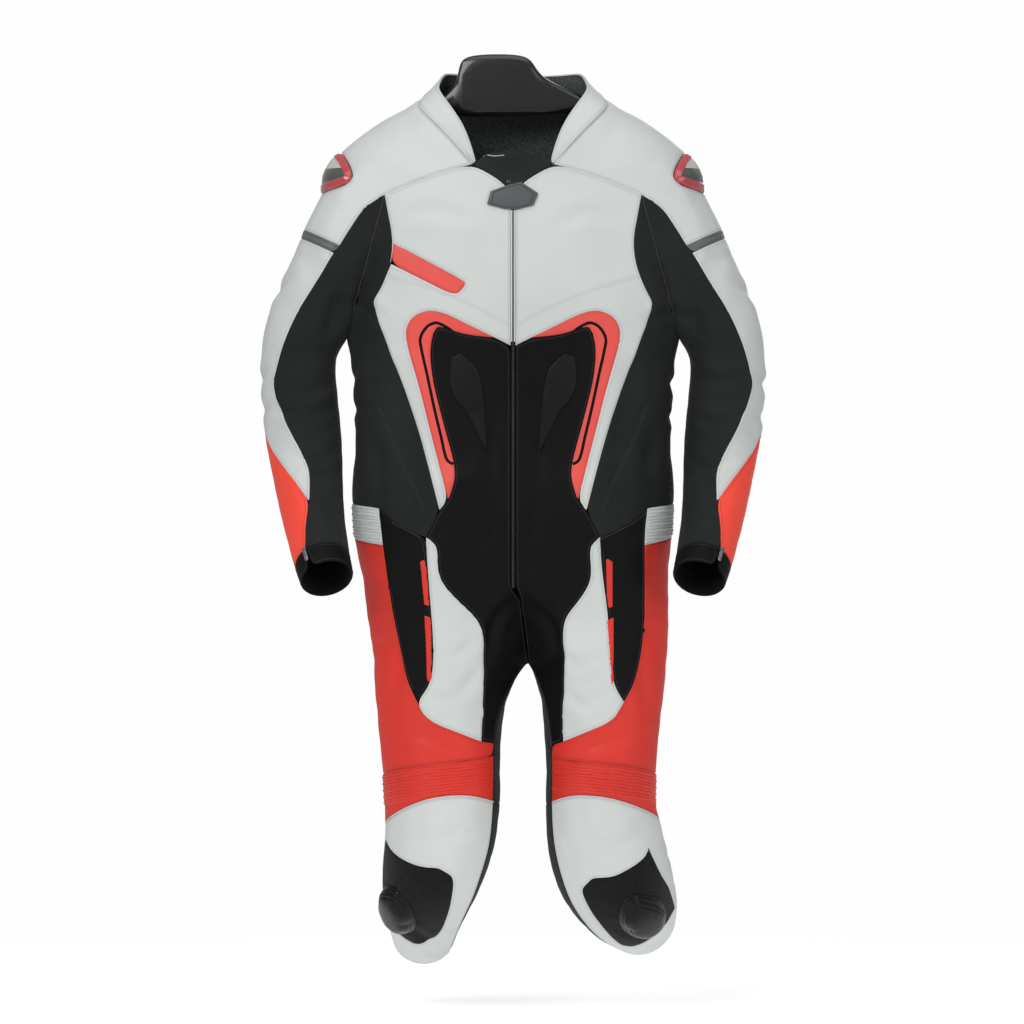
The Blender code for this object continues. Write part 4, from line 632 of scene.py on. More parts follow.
def build_materials():
    cloth, armour, hard = settings("leather"), settings("armour"), settings("hanger")
    MATERIALS.update(
        white=leather("white leather", cloth.white, 0.50, 0.05, 0.12),
        red=leather("leg red leather", cloth.red, 0.50, 0.10, 0.18),
        red_light=leather("sleeve red leather", cloth.red_light, 0.50, 0.10, 0.16),
        red_soft=leather("bracket red leather", cloth.red_soft, 0.50, 0.08, 0.25),
        black=leather("black leather", cloth.black, 0.52, 0.20, 0.30, 1.2, 0.08),
        grey=leather("band leather", cloth.grey, 0.48, 0.10, 0.25),
        tab=leather("cover leather", armour.tab, 0.42, 0.10, 0.35),
        # the black leather made 1.2 times lighter for the abdomen pads: painted sheen
        pad_leather=leather("abdomen pad leather with painted sheen", shade(cloth.black, 1.2), 0.44, 0.2, 0.2, 0.8,
                            0.15),
        stretch=stretch_cloth("stretch cloth", cloth.stretch),
        flap=stretch_cloth("neck flap cloth", shade(cloth.stretch, 1.3)),
        lining=lining_cloth("mesh lining", cloth.lining),
        # the same mesh lining at 0.055 of its colour: painted shade for the insides away from the
        # neck
        dark_lining=lining_cloth("mesh lining painted shade", shade(cloth.lining, 0.055)),
        pad=pile_cloth("looped pile", armour.pad),
        slider=plastic("slider plastic", armour.slider, 0.12, 0.8, 0.3),
        window=plastic("window plastic", armour.window, 0.16, 0.6, 0.4),
        # light grey for the upper half of the sliders' windows: a painted glint of the light above
        glint=plastic("window plastic with painted glint", (0.50, 0.50, 0.45), 0.20, 0.6, 0.4),
        puck=plastic("puck plastic", armour.puck, 0.22, 0.03, 0.6, 0.08, 0.13),
        hanger=plastic("hanger plastic", hard.black, 0.16, 0.3, 0.3, 0.04),
        metal=metal("zip metal", hard.metal),
        dark_metal=metal("dark zip metal", shade(hard.metal, 0.25), 0.35),
        white_thread=thread("white thread", shade(cloth.white, 0.86)),
        red_thread=thread("red thread", shade(cloth.red, 0.75)),
        black_thread=thread("black thread", (0.02, 0.02, 0.02)),
    )


# ---------------------------------------------------------------- panels
def middle_line(kind, node):
    """The middle line of the trunk or limb that a node belongs to."""
    rows = np.array(MIDDLE_LINES[kind if kind in MIDDLE_LINES else "leg_" + node[-1]], float) * MM
    if kind == "arm" and node.endswith("_l"):
        rows = rows * np.array([-1.0, 1.0, 1.0])
    return curve_through(rows, 0.01)


def split_wall(node, wall, line, ribbed=False):
    """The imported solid's two skins as bmeshes, without the rim between them."""
    bm = bmesh.new()
    bm.from_mesh(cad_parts[node].data)
    bmesh.ops.remove_doubles(bm, verts=bm.verts, dist=1e-5)
    upright = {e for e in bm.edges if abs(e.calc_length() - wall * MM) < 4e-5
               and (not ribbed or stands_out(e, line))}
    rim = [f for f in bm.faces if any(e in upright for e in f.edges)]
    bmesh.ops.delete(bm, geom=rim, context="FACES")
    left, parts = set(bm.faces), []
    while left:
        stack, part = [left.pop()], set()
        while stack:
            face = stack.pop()
            part.add(face)
            for edge in face.edges:
                for other in edge.link_faces:
                    if other in left:
                        left.discard(other)
                        stack.append(other)
        parts.append(part)
    return bm, sorted(parts, key=len)[-2:]


def away_from(line, point):
    """The way from a middle line's nearest point to another point."""
    return point - line[np.argmin(((line - point) ** 2).sum(axis=1))]


def stands_out(edge, line):
    """Whether an edge points away from the limb's middle line."""
    a, b = (np.array(vert.co) for vert in edge.verts)
    out, run = away_from(line, a), b - a
    return abs(float(out @ run)) > 0.75 * np.linalg.norm(out) * np.linalg.norm(run)


def keep_part(bm, part):
    bmesh.ops.delete(bm, geom=[f for f in bm.faces if f not in part], context="FACES")
    bmesh.ops.delete(bm, geom=[v for v in bm.verts if not v.link_faces], context="VERTS")


def outward_sum(part, line):
    """How far some faces look away from the middle line: the outer skin has the most."""
    total = 0.0
    for face in part:
        out = away_from(line, np.array(face.calc_center_median()))
        total += face.calc_area() * float(np.dot(np.array(face.normal), out))
    return total


def outer_skin(node, wall, kind, inner=False):
    """The outer (or inner) skin of a panel as an object."""
    line = middle_line(kind, node)
    bm, parts = split_wall(node, wall, line, inner)
    if len(parts) < 2:
        raise RuntimeError(node + ": its wall has no two skins")
    parts.sort(key=lambda part: outward_sum(part, line), reverse=not inner)
    keep_part(bm, parts[0])
    if inner:
        bmesh.ops.reverse_faces(bm, faces=bm.faces)
    bm.normal_update()
    mesh = bpy.data.meshes.new(node)
    bm.to_mesh(mesh)
    bm.free()
    return new_object(node + ("_ground" if inner else "_panel"), mesh)


def rim_loops(mesh):
    """The ordered boundary loops of a skin, anticlockwise seen from outside."""
    bm = bmesh.new()
    bm.from_mesh(mesh)
    following = {}
    for edge in bm.edges:
        if len(edge.link_loops) == 1:
            loop = edge.link_loops[0]
            following[loop.vert.index] = loop.link_loop_next.vert.index
    bm.free()
    loops = []
    while following:
        start, current = next(iter(following.items()))
        ring = [start]
        del following[start]
        while current != start and current in following:
            ring.append(current)
            current = following.pop(current)
        loops.append(ring)
    return loops


def corners_of(points, ring, angle=24.0):
    """The points of a rim loop at which it turns by more than an angle."""
    ahead = unit(np.roll(points[ring], -1, axis=0) - points[ring])
    behind = np.roll(ahead, 1, axis=0)
    turn = np.degrees(np.arccos(np.clip((ahead * behind).sum(axis=1), -1, 1)))
    return [ring[i] for i in np.flatnonzero(turn > angle)]


def relax(points, edges, fixed, rounds):
    """Even out a mesh without shrinking it, its fixed points left alone."""
    i, j = edges.T
    count = np.bincount(np.concatenate([i, j]), minlength=len(points))[:, None]
    free = (~fixed)[:, None] & (count > 0)
    for _ in range(rounds):
        for weight in (0.5, -0.52):
            total = np.stack([np.bincount(np.concatenate([i, j]),
                                          np.concatenate([points[j, k], points[i, k]]),
                                          len(points)) for k in range(3)], axis=1)
            points = points + np.where(free, weight * (total / np.maximum(count, 1) - points), 0)
    return points


def dense_rim(points, loops, shares=24):
    """A search tree over points close together along a skin's edges."""
    dense = []
    for ring in loops:
        ring_points = points[ring]
        step = np.roll(ring_points, -1, axis=0) - ring_points
        dense += [ring_points + share * step
                  for share in np.linspace(0, 1, shares, endpoint=False)]
    return point_tree(np.vstack(dense))


def flat_chart(obj):
    """Lay a skin out flat, at its own scale: a flat place for each corner of each face."""
    in_edit_mode(obj, bpy.ops.uv.unwrap, method="CONFORMAL", margin=0.0)


def read_chart(obj):
    """The skin's points, triangles and flat places, all by point."""
    mesh = obj.data
    mesh.calc_loop_triangles()
    points = points_of(mesh)
    places = np.zeros((len(points), 2))
    uv = np.empty(len(mesh.loops) * 2)
    mesh.uv_layers.active.data.foreach_get("uv", uv)
    corner = np.empty(len(mesh.loops), int)
    mesh.loops.foreach_get("vertex_index", corner)
    places[corner] = uv.reshape(-1, 2)
    tris = np.array([t.vertices[:] for t in mesh.loop_triangles])
    a, b, c = points[tris].transpose(1, 0, 2)
    solid = np.linalg.norm(np.cross(b - a, c - a), axis=1).sum()
    a, b, c = places[tris].transpose(1, 0, 2)
    flat = np.abs((b - a)[:, 0] * (c - a)[:, 1] - (b - a)[:, 1] * (c - a)[:, 0]).sum()
    return points, tris, places * math.sqrt(solid / flat)


def spaced_ring(points, places, ring, step):
    """Even points along one rim loop, its corners kept; in space and on the flat chart."""
    marks = corners_of(points, ring)
    start = ring.index(marks[0]) if marks else 0
    ring = ring[start:] + ring[:start] + [ring[start]]
    stops = [k for k, index in enumerate(ring) if index in set(marks)] or [0]
    if stops[-1] != len(ring) - 1:
        stops.append(len(ring) - 1)
    both = np.hstack([points[ring], places[ring]])
    out = []
    for first, last in zip(stops, stops[1:]):
        part = both[first:last + 1]
        run = run_along(part[:, :3])
        count = max(1, int(round(run[-1] / step)))
        at = np.linspace(0, run[-1], count, endpoint=False)
        out.append(between(part, run, at))
    return np.vstack(out)


def inward(ring, width, tree):
    """Points beside a flat rim loop (anticlockwise), those that crowd its corners left out."""
    ahead = unit(np.roll(ring, -1, axis=0) - ring)
    side = unit(ahead + np.roll(ahead, 1, axis=0))
    out = ring + width * np.stack([-side[:, 1], side[:, 0]], axis=1)
    return out[gaps_to(tree, at_level(out)) > 0.86 * width]


def within(places, rings):
    """Which flat places lie inside closed rings, holes counted as outside."""
    crossings = np.zeros(len(places), int)
    u, v = places[:, :1], places[:, 1:2]
    for ring in rings:
        a, b = ring, np.roll(ring, -1, axis=0)
        rise = b[:, 1] - a[:, 1]
        rise = np.where(np.abs(rise) < 1e-15, 1e-15, rise)
        spans = (a[None, :, 1] > v) != (b[None, :, 1] > v)
        meets = a[None, :, 0] + (v - a[None, :, 1]) * (b[:, 0] - a[:, 0])[None] / rise[None]
        crossings += (spans & (u < meets)).sum(axis=1)
    return crossings % 2 == 1


def resurface(obj, step, rings=(0.0013, 0.0036)):
    """Rebuild a smoothed skin with even faces and narrow rings along its rim."""
    points, tris, places = read_chart(obj)
    a, b, c = places[tris].transpose(1, 0, 2)
    turned = ((b - a)[:, 0] * (c - a)[:, 1] - (b - a)[:, 1] * (c - a)[:, 0]).sum() < 0
    if turned:
        places = places * np.array([-1.0, 1.0])
    chart = surface_tree(at_level(places), [tuple(t) for t in tris.tolist()])
    rims = [spaced_ring(points, places, ring, step * 0.8) for ring in rim_loops(obj.data)]
    known, outlines = np.vstack([r[:, :3] for r in rims]), [r[:, 3:] for r in rims]
    # on the chart: the rims, rings beside them, and a lattice of triangles within
    tree = point_tree(at_level(np.vstack(
        [line + share * (np.roll(line, -1, axis=0) - line)
         for line in outlines for share in np.linspace(0, 1, 6, endpoint=False)])))
    lines, base = [], 0
    for line in outlines:
        lines += [(base + k, base + (k + 1) % len(line)) for k in range(len(line))]
        base += len(line)
    flat = list(outlines)
    for width in rings:
        flat += [inward(line, width, tree) for line in outlines]
    low, high = places.min(axis=0), places.max(axis=0)
    lattice = []
    for k, v in enumerate(np.arange(low[1], high[1], step * math.sqrt(0.75))):
        u = np.arange(low[0] + (k % 2) * step / 2, high[0], step)
        lattice.append(np.stack([u, np.full(len(u), v)], axis=1))
    lattice = np.vstack(lattice)
    lattice = lattice[gaps_to(tree, at_level(lattice)) > rings[-1] + 0.6 * step]
    flat = np.vstack(flat + [lattice[within(lattice, outlines)]])
    made = delaunay_2d_cdt([Vector(p) for p in flat], lines, [], 0, 1e-6, True)
    where, faces, origin = np.array([tuple(p) for p in made[0]]), made[2], made[3]
    middles = np.array([where[list(f)].mean(axis=0) for f in faces])
    faces = [f for f, kept in zip(faces, within(middles, outlines)) if kept and len(f) == 3]
    # back into space: rim points as they were, the others from the triangles below them
    solid = np.zeros((len(where), 3))
    for index, place in enumerate(where):
        source = origin[index][0] if origin[index] else -1
        if 0 <= source < len(known):
            solid[index] = known[source]
            continue
        spot, _, face, _ = chart.find_nearest(Vector((place[0], place[1], 0)))
        corners = tris[face]
        solid[index] = spread_over(spot, places[corners], points[corners])
    used = sorted({i for f in faces for i in f})
    new = {old: k for k, old in enumerate(used)}
    faces = [tuple(new[i] for i in f) for f in faces]
    mesh = bpy.data.meshes.new(obj.name)
    mesh.from_pydata([tuple(p) for p in solid[used]], [], faces)
    mesh.update()
    obj.data = mesh
    if turned:
        mesh.flip_normals()
    return cut_size(places)


def cut_size(places):
    """Width and length of the smallest box round a flat pattern."""
    best = None
    for angle in np.radians(np.arange(0, 90, 2)):
        cos, sin = math.cos(angle), math.sin(angle)
        turn = np.array([[cos, -sin], [sin, cos]])
        size = np.ptp(places @ turn, axis=0)
        if best is None or size.prod() < best.prod():
            best = size
    return float(best.min()), float(best.max())


def spread_over(spot, flat, solid):
    """A flat place's point in space, from the triangle that it lies in."""
    (ax, ay), (bx, by), (cx, cy) = flat
    whole = (by - cy) * (ax - cx) + (cx - bx) * (ay - cy)
    if abs(whole) < 1e-14:
        return solid.mean(axis=0)
    u = ((by - cy) * (spot[0] - cx) + (cx - bx) * (spot[1] - cy)) / whole
    v = ((cy - ay) * (spot[0] - cx) + (ax - cx) * (spot[1] - cy)) / whole
    return u * solid[0] + v * solid[1] + (1 - u - v) * solid[2]


def soft_step(value, low, high):
    """From 0 below low to 1 above high, without a corner."""
    t = np.clip((value - low) / (high - low), 0, 1)
    return t * t * (3 - 2 * t)


def crease_shift(points, normals):
    """How far each point moves along its normal for the creases, in metres."""
    shift = np.zeros(len(points))
    mm = points / MM
    for view, line, width, depth in CREASES:
        if view in ("front", "back"):
            flat = mm[:, [0, 2]]
            facing = -normals[:, 1] if view == "front" else normals[:, 1]
            near = np.ones(len(points), bool)
        else:
            flat = mm[:, [1, 2]]
            facing = normals[:, 0] * (-1 if view == "side_r" else 1)
            near = mm[:, 0] < -200 if view == "side_r" else mm[:, 0] > 200
        curve = curve_through(line, 5.0)
        low, high = curve.min(axis=0) - 3 * width, curve.max(axis=0) + 3 * width
        pick = np.flatnonzero(near & (flat > low).all(axis=1) & (flat < high).all(axis=1)
                              & (facing > -0.2))
        if not len(pick):
            continue
        gap = np.linalg.norm(flat[pick, None, :] - curve[None], axis=2)
        at = np.argmin(gap, axis=1)
        away = gap[np.arange(len(pick)), at] / width
        along = at / (len(curve) - 1)
        taper = np.sqrt(np.clip(np.sin(math.pi * (0.06 + 0.88 * along)), 0, 1))
        taper *= 0.8 + 0.2 * np.sin(9.0 * along + line[0][0])
        form = -np.exp(-(away / 0.55) ** 2) + 0.55 * np.exp(-((away - 1.15) / 0.6) ** 2)
        shift[pick] += (CREASE_GAIN * depth * MM * form * taper
                        * soft_step(facing[pick], -0.1, 0.45))
    return shift


def close_thighs(node, points):
    """Let the inner thighs rest on each other just below the crotch."""
    side = 1 if node.endswith("_r") else -1
    z = points[:, 2] / MM
    middle = np.interp(-z, [800, 905], [11.0, 20.0]) * MM
    gap = (middle - points[:, 0]) * side
    share = np.exp(-(gap / 0.009) ** 2) * soft_step(-z, 770, 800) * (1 - soft_step(-z, 885, 906))
    return points + np.stack([side * gap * 0.97 * share, 0 * gap, 0 * gap], axis=1)


def rim_distance(points, loops):
    """Distance of each point from the panel's edge, up to 15 mm."""
    return np.minimum(gaps_to(dense_rim(points, loops, 5), points), 0.015)


def thicken(obj, wall, rim=0):
    """Give a skin its wall (mm) inwards; rim is the material of the edge between."""
    mod = obj.modifiers.new("Wall", "SOLIDIFY")
    mod.thickness = wall * MM
    mod.offset = -1.0
    mod.use_even_offset = False
    mod.material_offset = 1
    mod.material_offset_rim = rim
    apply_modifiers(obj)


def line_inside(obj, finish, neck=False):
    """The finish outside and the lining inside, in the order that the wall uses; away from the neck
    the lining is a much darker copy of itself, painted shade.
    """
    obj.data.materials.append(MATERIALS[finish])
    obj.data.materials.append(MATERIALS["lining" if neck else "dark_lining"])


def surface_area(mesh):
    return sum(face.area for face in mesh.polygons)


def declare_sheet(area, cut):
    """Work out the width of a panel's cut from the box round its flat pattern and its area; the
    result is not kept.
    """
    wide, long = cut
    wide = min(max(wide, area / long), area / (LEAST_FILL * long))


def write_seam(obj, distance):
    """Tell the material how near each point is to a seam."""
    layer = obj.data.attributes.new("seam", "FLOAT", "POINT")
    layer.data.foreach_set("value", np.exp(-(distance / SEAM_REACH) ** 2).astype(np.float32))


PANEL_SKINS = {}    # node: the finished outer skin's points and faces
RIMS = {}           # node: those points, their normals and the longest rim loop
SEWN = []           # finish, points, faces, normals and rim loops of each stitched panel


def panel_rows():
    rows = []
    for node, wall, finish, kind, sewn in BOTH_SIDES:
        rows += [(node + mark, wall, finish, kind, sewn) for mark in ("_r", "_l")]
    return rows + SINGLE


def soften(skin):
    """Subdivide a skin with its rim kept sharp, and even out what the edges left."""
    mesh = skin.data
    crease = mesh.attributes.new("crease_edge", "FLOAT", "EDGE")
    rim = {frozenset(pair) for ring in rim_loops(mesh)
           for pair in zip(ring, ring[1:] + ring[:1])}
    for line in mesh.edges:
        if frozenset(line.vertices) in rim:
            crease.data[line.index].value = 1.0
    add_subdivision(skin, 2).uv_smooth = "NONE"
    apply_modifiers(skin)
    points = points_of(skin.data)
    edges = np.array([e.vertices[:] for e in skin.data.edges])
    fixed = np.zeros(len(points), bool)
    for ring in rim_loops(skin.data):
        fixed[ring] = True
    set_points(skin.data, relax(points, edges, fixed, 10))


def finish_panel(node, wall, finish, skin, sewn):
    """Smooth, crease, roll the seams and thicken one panel."""
    cloth = settings("leather")
    flat_chart(skin)
    soften(skin)
    cut = resurface(skin, cloth.spacing)
    points, normals = points_of(skin.data), normals_of(skin.data)
    for ring in rim_loops(skin.data):
        ahead = np.roll(points[ring], -1, axis=0) - np.roll(points[ring], 1, axis=0)
        away = np.cross(ahead, normals[ring])
        points[ring] += RIM_PUSH * unit(away)
    set_points(skin.data, points)
    distance = rim_distance(points, rim_loops(skin.data))
    shift = crease_shift(points, normals)
    shift -= cloth.roll * np.exp(-(distance / ROLL_WIDTH) ** 2)
    if sewn:
        shift -= STITCH_SINK * np.exp(-((distance - cloth.roll * 3.1) / 0.0012) ** 2)
    points = points + normals * shift[:, None]
    if node.startswith("seat_leg"):
        points = close_thighs(node, points)
    set_points(skin.data, points)
    area = surface_area(skin.data)
    faces, loops = faces_of(skin.data), rim_loops(skin.data)
    PANEL_SKINS[node] = (points, faces)
    RIMS[node] = (points, normals, max(loops, key=len))
    if sewn:
        SEWN.append((finish, points, faces, normals, loops))
    write_seam(skin, distance)
    # only the neck pieces get the plain lining inside; the others, and the forearms' cut edge seen
    # in the cuff, get the darkened copy as painted shade
    line_inside(skin, finish, node in ("collar", "back_upper", "neck_flap"))
    thicken(skin, wall, int(node.startswith("sleeve_forearm")))
    dress(skin, None, SLOTS[finish], node)
    smooth(skin, 50.0)
    declare_sheet(area, cut)


class RACESUIT_OT_panels(bpy.types.Operator):
    """Build the flat-cut leather and stretch panels"""
    bl_idname = "race_suit.panels"
    bl_label = "Panels"

    def execute(self, context):
        build_materials()
        for node, wall, finish, kind, sewn in panel_rows():
            finish_panel(node, wall, finish, outer_skin(node, wall, kind), sewn)
        return {"FINISHED"}


# ---------------------------------------------------------------- ribbed leather
def four_sides(points, ring):
    """A rim loop cut at its four sharpest corners, as dense curves."""
    ring_points = points[ring]
    ahead = unit(np.roll(ring_points, -1, axis=0) - ring_points)
    turn = (ahead * np.roll(ahead, 1, axis=0)).sum(axis=1)
    cuts = sorted(np.argsort(turn)[:4])
    sides = []
    for k, start in enumerate(cuts):
        stop = cuts[(k + 1) % 4] + (len(ring) if k == 3 else 0)
        sides.append(ring_points[np.arange(start, stop + 1) % len(ring)])
    return sides


def along_curve(curve, shares):
    """Points at given shares of a curve's length."""
    run = run_along(curve)
    return between(curve, run / run[-1], shares)


def patch(top, bottom, left, right, columns, rows):
    """A grid of points inside four curves; left and right run from top to bottom."""
    s, t = np.linspace(0, 1, columns), np.linspace(0, 1, rows)
    a, b = along_curve(top, s), along_curve(bottom, s)
    c, d = along_curve(left, t), along_curve(right, t)
    u, v = s[None, :, None], t[:, None, None]
    return ((1 - v) * a[None] + v * b[None] + (1 - u) * c[:, None] + u * d[:, None]
            - (1 - u) * (1 - v) * a[0] - u * (1 - v) * a[-1] - (1 - u) * v * b[0]
            - u * v * b[-1])


def grid_faces(rows, columns):
    return [(i * columns + j, (i + 1) * columns + j, (i + 1) * columns + j + 1,
             i * columns + j + 1) for i in range(rows - 1) for j in range(columns - 1)]


def tube(name, line, radius, closed=False):
    """A round cord along a line of points."""
    sides = 6
    if closed:
        ahead = np.roll(line, -1, axis=0) - np.roll(line, 1, axis=0)
    else:
        ahead = np.gradient(line, axis=0)
    ahead = unit(ahead)
    side = unit(np.cross(ahead, (0, 1, 0)))
    up = np.cross(side, ahead)
    turn = np.arange(sides) * 2 * math.pi / sides
    points = (line[:, None] + radius * (np.cos(turn)[None, :, None] * side[:, None]
                                        + np.sin(turn)[None, :, None] * up[:, None]))
    count = len(line)
    faces = [(i * sides + j, i * sides + (j + 1) % sides,
              (i + 1) % count * sides + (j + 1) % sides, (i + 1) % count * sides + j)
             for i in range(count if closed else count - 1) for j in range(sides)]
    if not closed:
        faces += [tuple(range(sides))[::-1], tuple(range((count - 1) * sides, count * sides))]
    obj = mesh_object(name, points.reshape(-1, 3), faces)
    face_outward(obj)
    smooth(obj, 60.0)
    return obj


class RACESUIT_OT_ribs(bpy.types.Operator):
    """Build the ribbed leather at the hips and above the knees"""
    bl_idname = "race_suit.ribs"
    bl_label = "Ribbed leather"

    def execute(self, context):
        for base, finish, kind in RIBBED:
            for mark in ("_r", "_l"):
                self.build(base + mark, finish, kind)
        return {"FINISHED"}

    def net(self, node):
        """Rows and columns of points over the ground of a ribbed piece, and its width."""
        inner = outer_skin(node, 2.0, "leg", inner=True)
        ring = max(rim_loops(inner.data), key=len)
        sides = four_sides(points_of(inner.data), ring)
        bpy.data.objects.remove(inner, do_unlink=True)
        first = int(np.argmax([side[:, 2].mean() for side in sides]))
        top, right, bottom, left = (sides[(first + k) % 4] for k in range(4))
        bottom, left = bottom[::-1], left[::-1]
        tall = max(run_along(side)[-1] for side in (left, right))
        wide = max(run_along(side)[-1] for side in (top, bottom))
        columns, rows = int(wide / PLEAT_NET[0]), int(tall / PLEAT_NET[1])
        return patch(top, bottom, left, right, columns, rows), wide

    def pleats(self, kind, grid, wide):
        """How high the leather stands over each point of a net, and how far from the edge."""
        ribs, roll = settings("ribs"), settings("leather").roll
        if kind == "knee":
            pitch, rise, unevenness = ribs.knee_pitch, ribs.knee_rise, 1.0
        else:
            pitch, rise, unevenness = ribs.hip_pitch, ribs.hip_rise, 0.25
        columns = grid.shape[1]
        run = np.concatenate([np.zeros((1, columns)),
                              np.cumsum(np.linalg.norm(np.diff(grid, axis=0), axis=2), axis=0)])
        s = np.linspace(0, wide, columns)[None, :]
        wobble = (0.25 * np.sin(s / 0.017 + run / 0.012) + 0.20 * np.sin(s / 0.0063 + 2.0)
                  + 0.15 * np.sin(s / 0.0031 + run / 0.006)) * unevenness
        puff = np.abs(np.sin(math.pi * run / pitch + wobble)) ** 0.7
        strength = 0.78 + 0.22 * np.sin(s / 0.021 + 3.1 * np.floor(run / pitch))
        height = rise * puff * strength
        if kind == "knee":
            height *= 1 - soft_step(run, ribs.knee_depth - 0.006, ribs.knee_depth)
        edge = np.minimum(np.minimum(run, run[-1:] - run), np.minimum(s, wide - s))
        height = height * soft_step(edge, 0.001, 0.005)
        return height + 0.002 - roll * np.exp(-(edge / 0.0013) ** 2), edge

    def build(self, node, finish, kind):
        """One ribbed piece, and the piping along the lower edge of those at the knees."""
        grid, wide = self.net(node)
        rows, columns = grid.shape[:2]
        normal = unit(np.cross(np.gradient(grid, axis=0), np.gradient(grid, axis=1)))
        if (normal * (grid - middle_line("leg", node).mean(axis=0))).sum() < 0:
            normal = -normal
        height, edge = self.pleats(kind, grid, wide)
        points = (grid + normal * height[:, :, None]).reshape(-1, 3)
        obj = mesh_object(node + "_panel", points, grid_faces(rows, columns))
        if (normals_of(obj.data) * normal.reshape(-1, 3)).sum() < 0:
            in_edit_mode(obj, bpy.ops.mesh.flip_normals)
        outward = normals_of(obj.data)
        points = points + outward * crease_shift(points, outward)[:, None]
        set_points(obj.data, points)
        area = surface_area(obj.data)
        write_seam(obj, edge.reshape(-1))
        PANEL_SKINS[node] = (points, faces_of(obj.data))
        SEWN.append((finish, *PANEL_SKINS[node], normals_of(obj.data), rim_loops(obj.data)))
        line_inside(obj, finish)
        thicken(obj, RIB_WALL)
        dress(obj, None, SLOTS[finish], node)
        smooth(obj, 60.0)
        net = points.reshape(rows, columns, 3)
        runs = [float(np.linalg.norm(np.diff(net, axis=k), axis=2).sum(axis=k).max())
                for k in (0, 1)]
        declare_sheet(area, (min(runs), max(runs)))
        if kind == "knee":
            low = net[-1] + 0.0011 * normal[-1]
            piping = tube("knee_piping" + node[-2:], low[::2], 0.0009)
            dress(piping, MATERIALS["white"], "leather_white")


# ---------------------------------------------------------------- things laid on the panels
def ground(*nodes):
    """A search tree over the finished outer skins of some panels."""
    points, faces = [], []
    for node in nodes:
        p, f = PANEL_SKINS[node]
        base = len(points)
        points += [Vector(q) for q in p]
        faces += [tuple(base + i for i in face) for face in f]
    return BVHTree.FromPolygons(points, faces)


def onto(tree, flat):
    """Points (x, z in mm) put on the ground from in front, and the ground's normals there."""
    out, face = [], []
    for x, z in np.asarray(flat, float) * MM:
        spot, normal = tree.ray_cast(Vector((x, -0.4, z)), Vector((0, 1, 0)))[:2]
        if spot is None:
            spot, normal = tree.find_nearest(Vector((x, -0.09, z)))[:2]
        out.append(spot)
        face.append(normal if normal.y < 0 else -normal)
    return np.array(out), np.array(face)


def beside(line, step):
    """A line given from the front, made smooth, and the way to its side at each point."""
    middle = curve_through(line, step)
    run = unit(np.gradient(middle, axis=0))
    return middle, np.stack([-run[:, 1], run[:, 0]], axis=1)


def band(name, tree, line, half, rise, step=3.0):
    """A narrow strip with rounded edges laid along a line given from the front."""
    middle, side = beside(line, step)
    points = []
    for share in np.linspace(-1, 1, 5):
        where, face = onto(tree, middle + side * (share * half))
        height = rise * MM * (1 - share**4) - 0.0002
        points.append(where + face * height)
    grid = np.stack(points, axis=1)
    return close_strip(mesh_object(name, grid.reshape(-1, 3), grid_faces(len(middle), len(points))))


def close_strip(obj):
    """Turn a laid strip to the front and give it its wall."""
    face_outward(obj)
    if normals_of(obj.data)[:, 1].sum() >= 0:
        obj.data.flip_normals()
    mod = obj.modifiers.new("Wall", "SOLIDIFY")
    mod.thickness, mod.offset = STRIP_WALL, -1.0
    apply_modifiers(obj)
    smooth(obj, 50.0)
    return obj


def filled(name, tree, outline, rise, spacing=2.5, edge=2.0):
    """A thin patch inside a closed outline (x, z in mm) laid on the panels."""
    ring = []
    for a, b in zip(outline, outline[1:] + outline[:1]):
        a, b = np.array(a, float), np.array(b, float)
        count = max(1, int(np.linalg.norm(b - a) / spacing))
        ring += [a + (b - a) * k / count for k in range(count)]
    low, high = np.min(ring, axis=0), np.max(ring, axis=0)
    grid = np.stack(np.meshgrid(np.arange(low[0], high[0], spacing),
                                np.arange(low[1], high[1], spacing)), axis=2).reshape(-1, 2)
    ring = np.array(ring)
    edge_tree = dense_rim(at_level(ring), [list(range(len(ring)))], 5)
    clear = gaps_to(edge_tree, at_level(grid)) > 0.6 * spacing
    grid = grid[clear & within(grid, [ring])]
    rim = [(k, (k + 1) % len(ring)) for k in range(len(ring))]
    made = delaunay_2d_cdt([Vector(p) for p in np.vstack([ring, grid])], rim, [], 0, 1e-5, False)
    where = np.array([tuple(p) for p in made[0]])
    kept = within(np.array([where[list(f)].mean(axis=0) for f in made[2]]), [ring])
    obj = mesh_object(name, [(p[0], 0, p[1]) for p in where],
                      [f for f, k in zip(made[2], kept) if k])
    flat = points_of(obj.data)
    away = rim_distance(flat * MM, rim_loops(obj.data)) / MM
    where, face = onto(tree, flat[:, [0, 2]])
    height = MM * (rise * soft_step(away, -0.5, edge) - 0.2)
    set_points(obj.data, where + face * height[:, None])
    return close_strip(obj)


def mirror_line(line):
    return [(-x, z) for x, z in line]


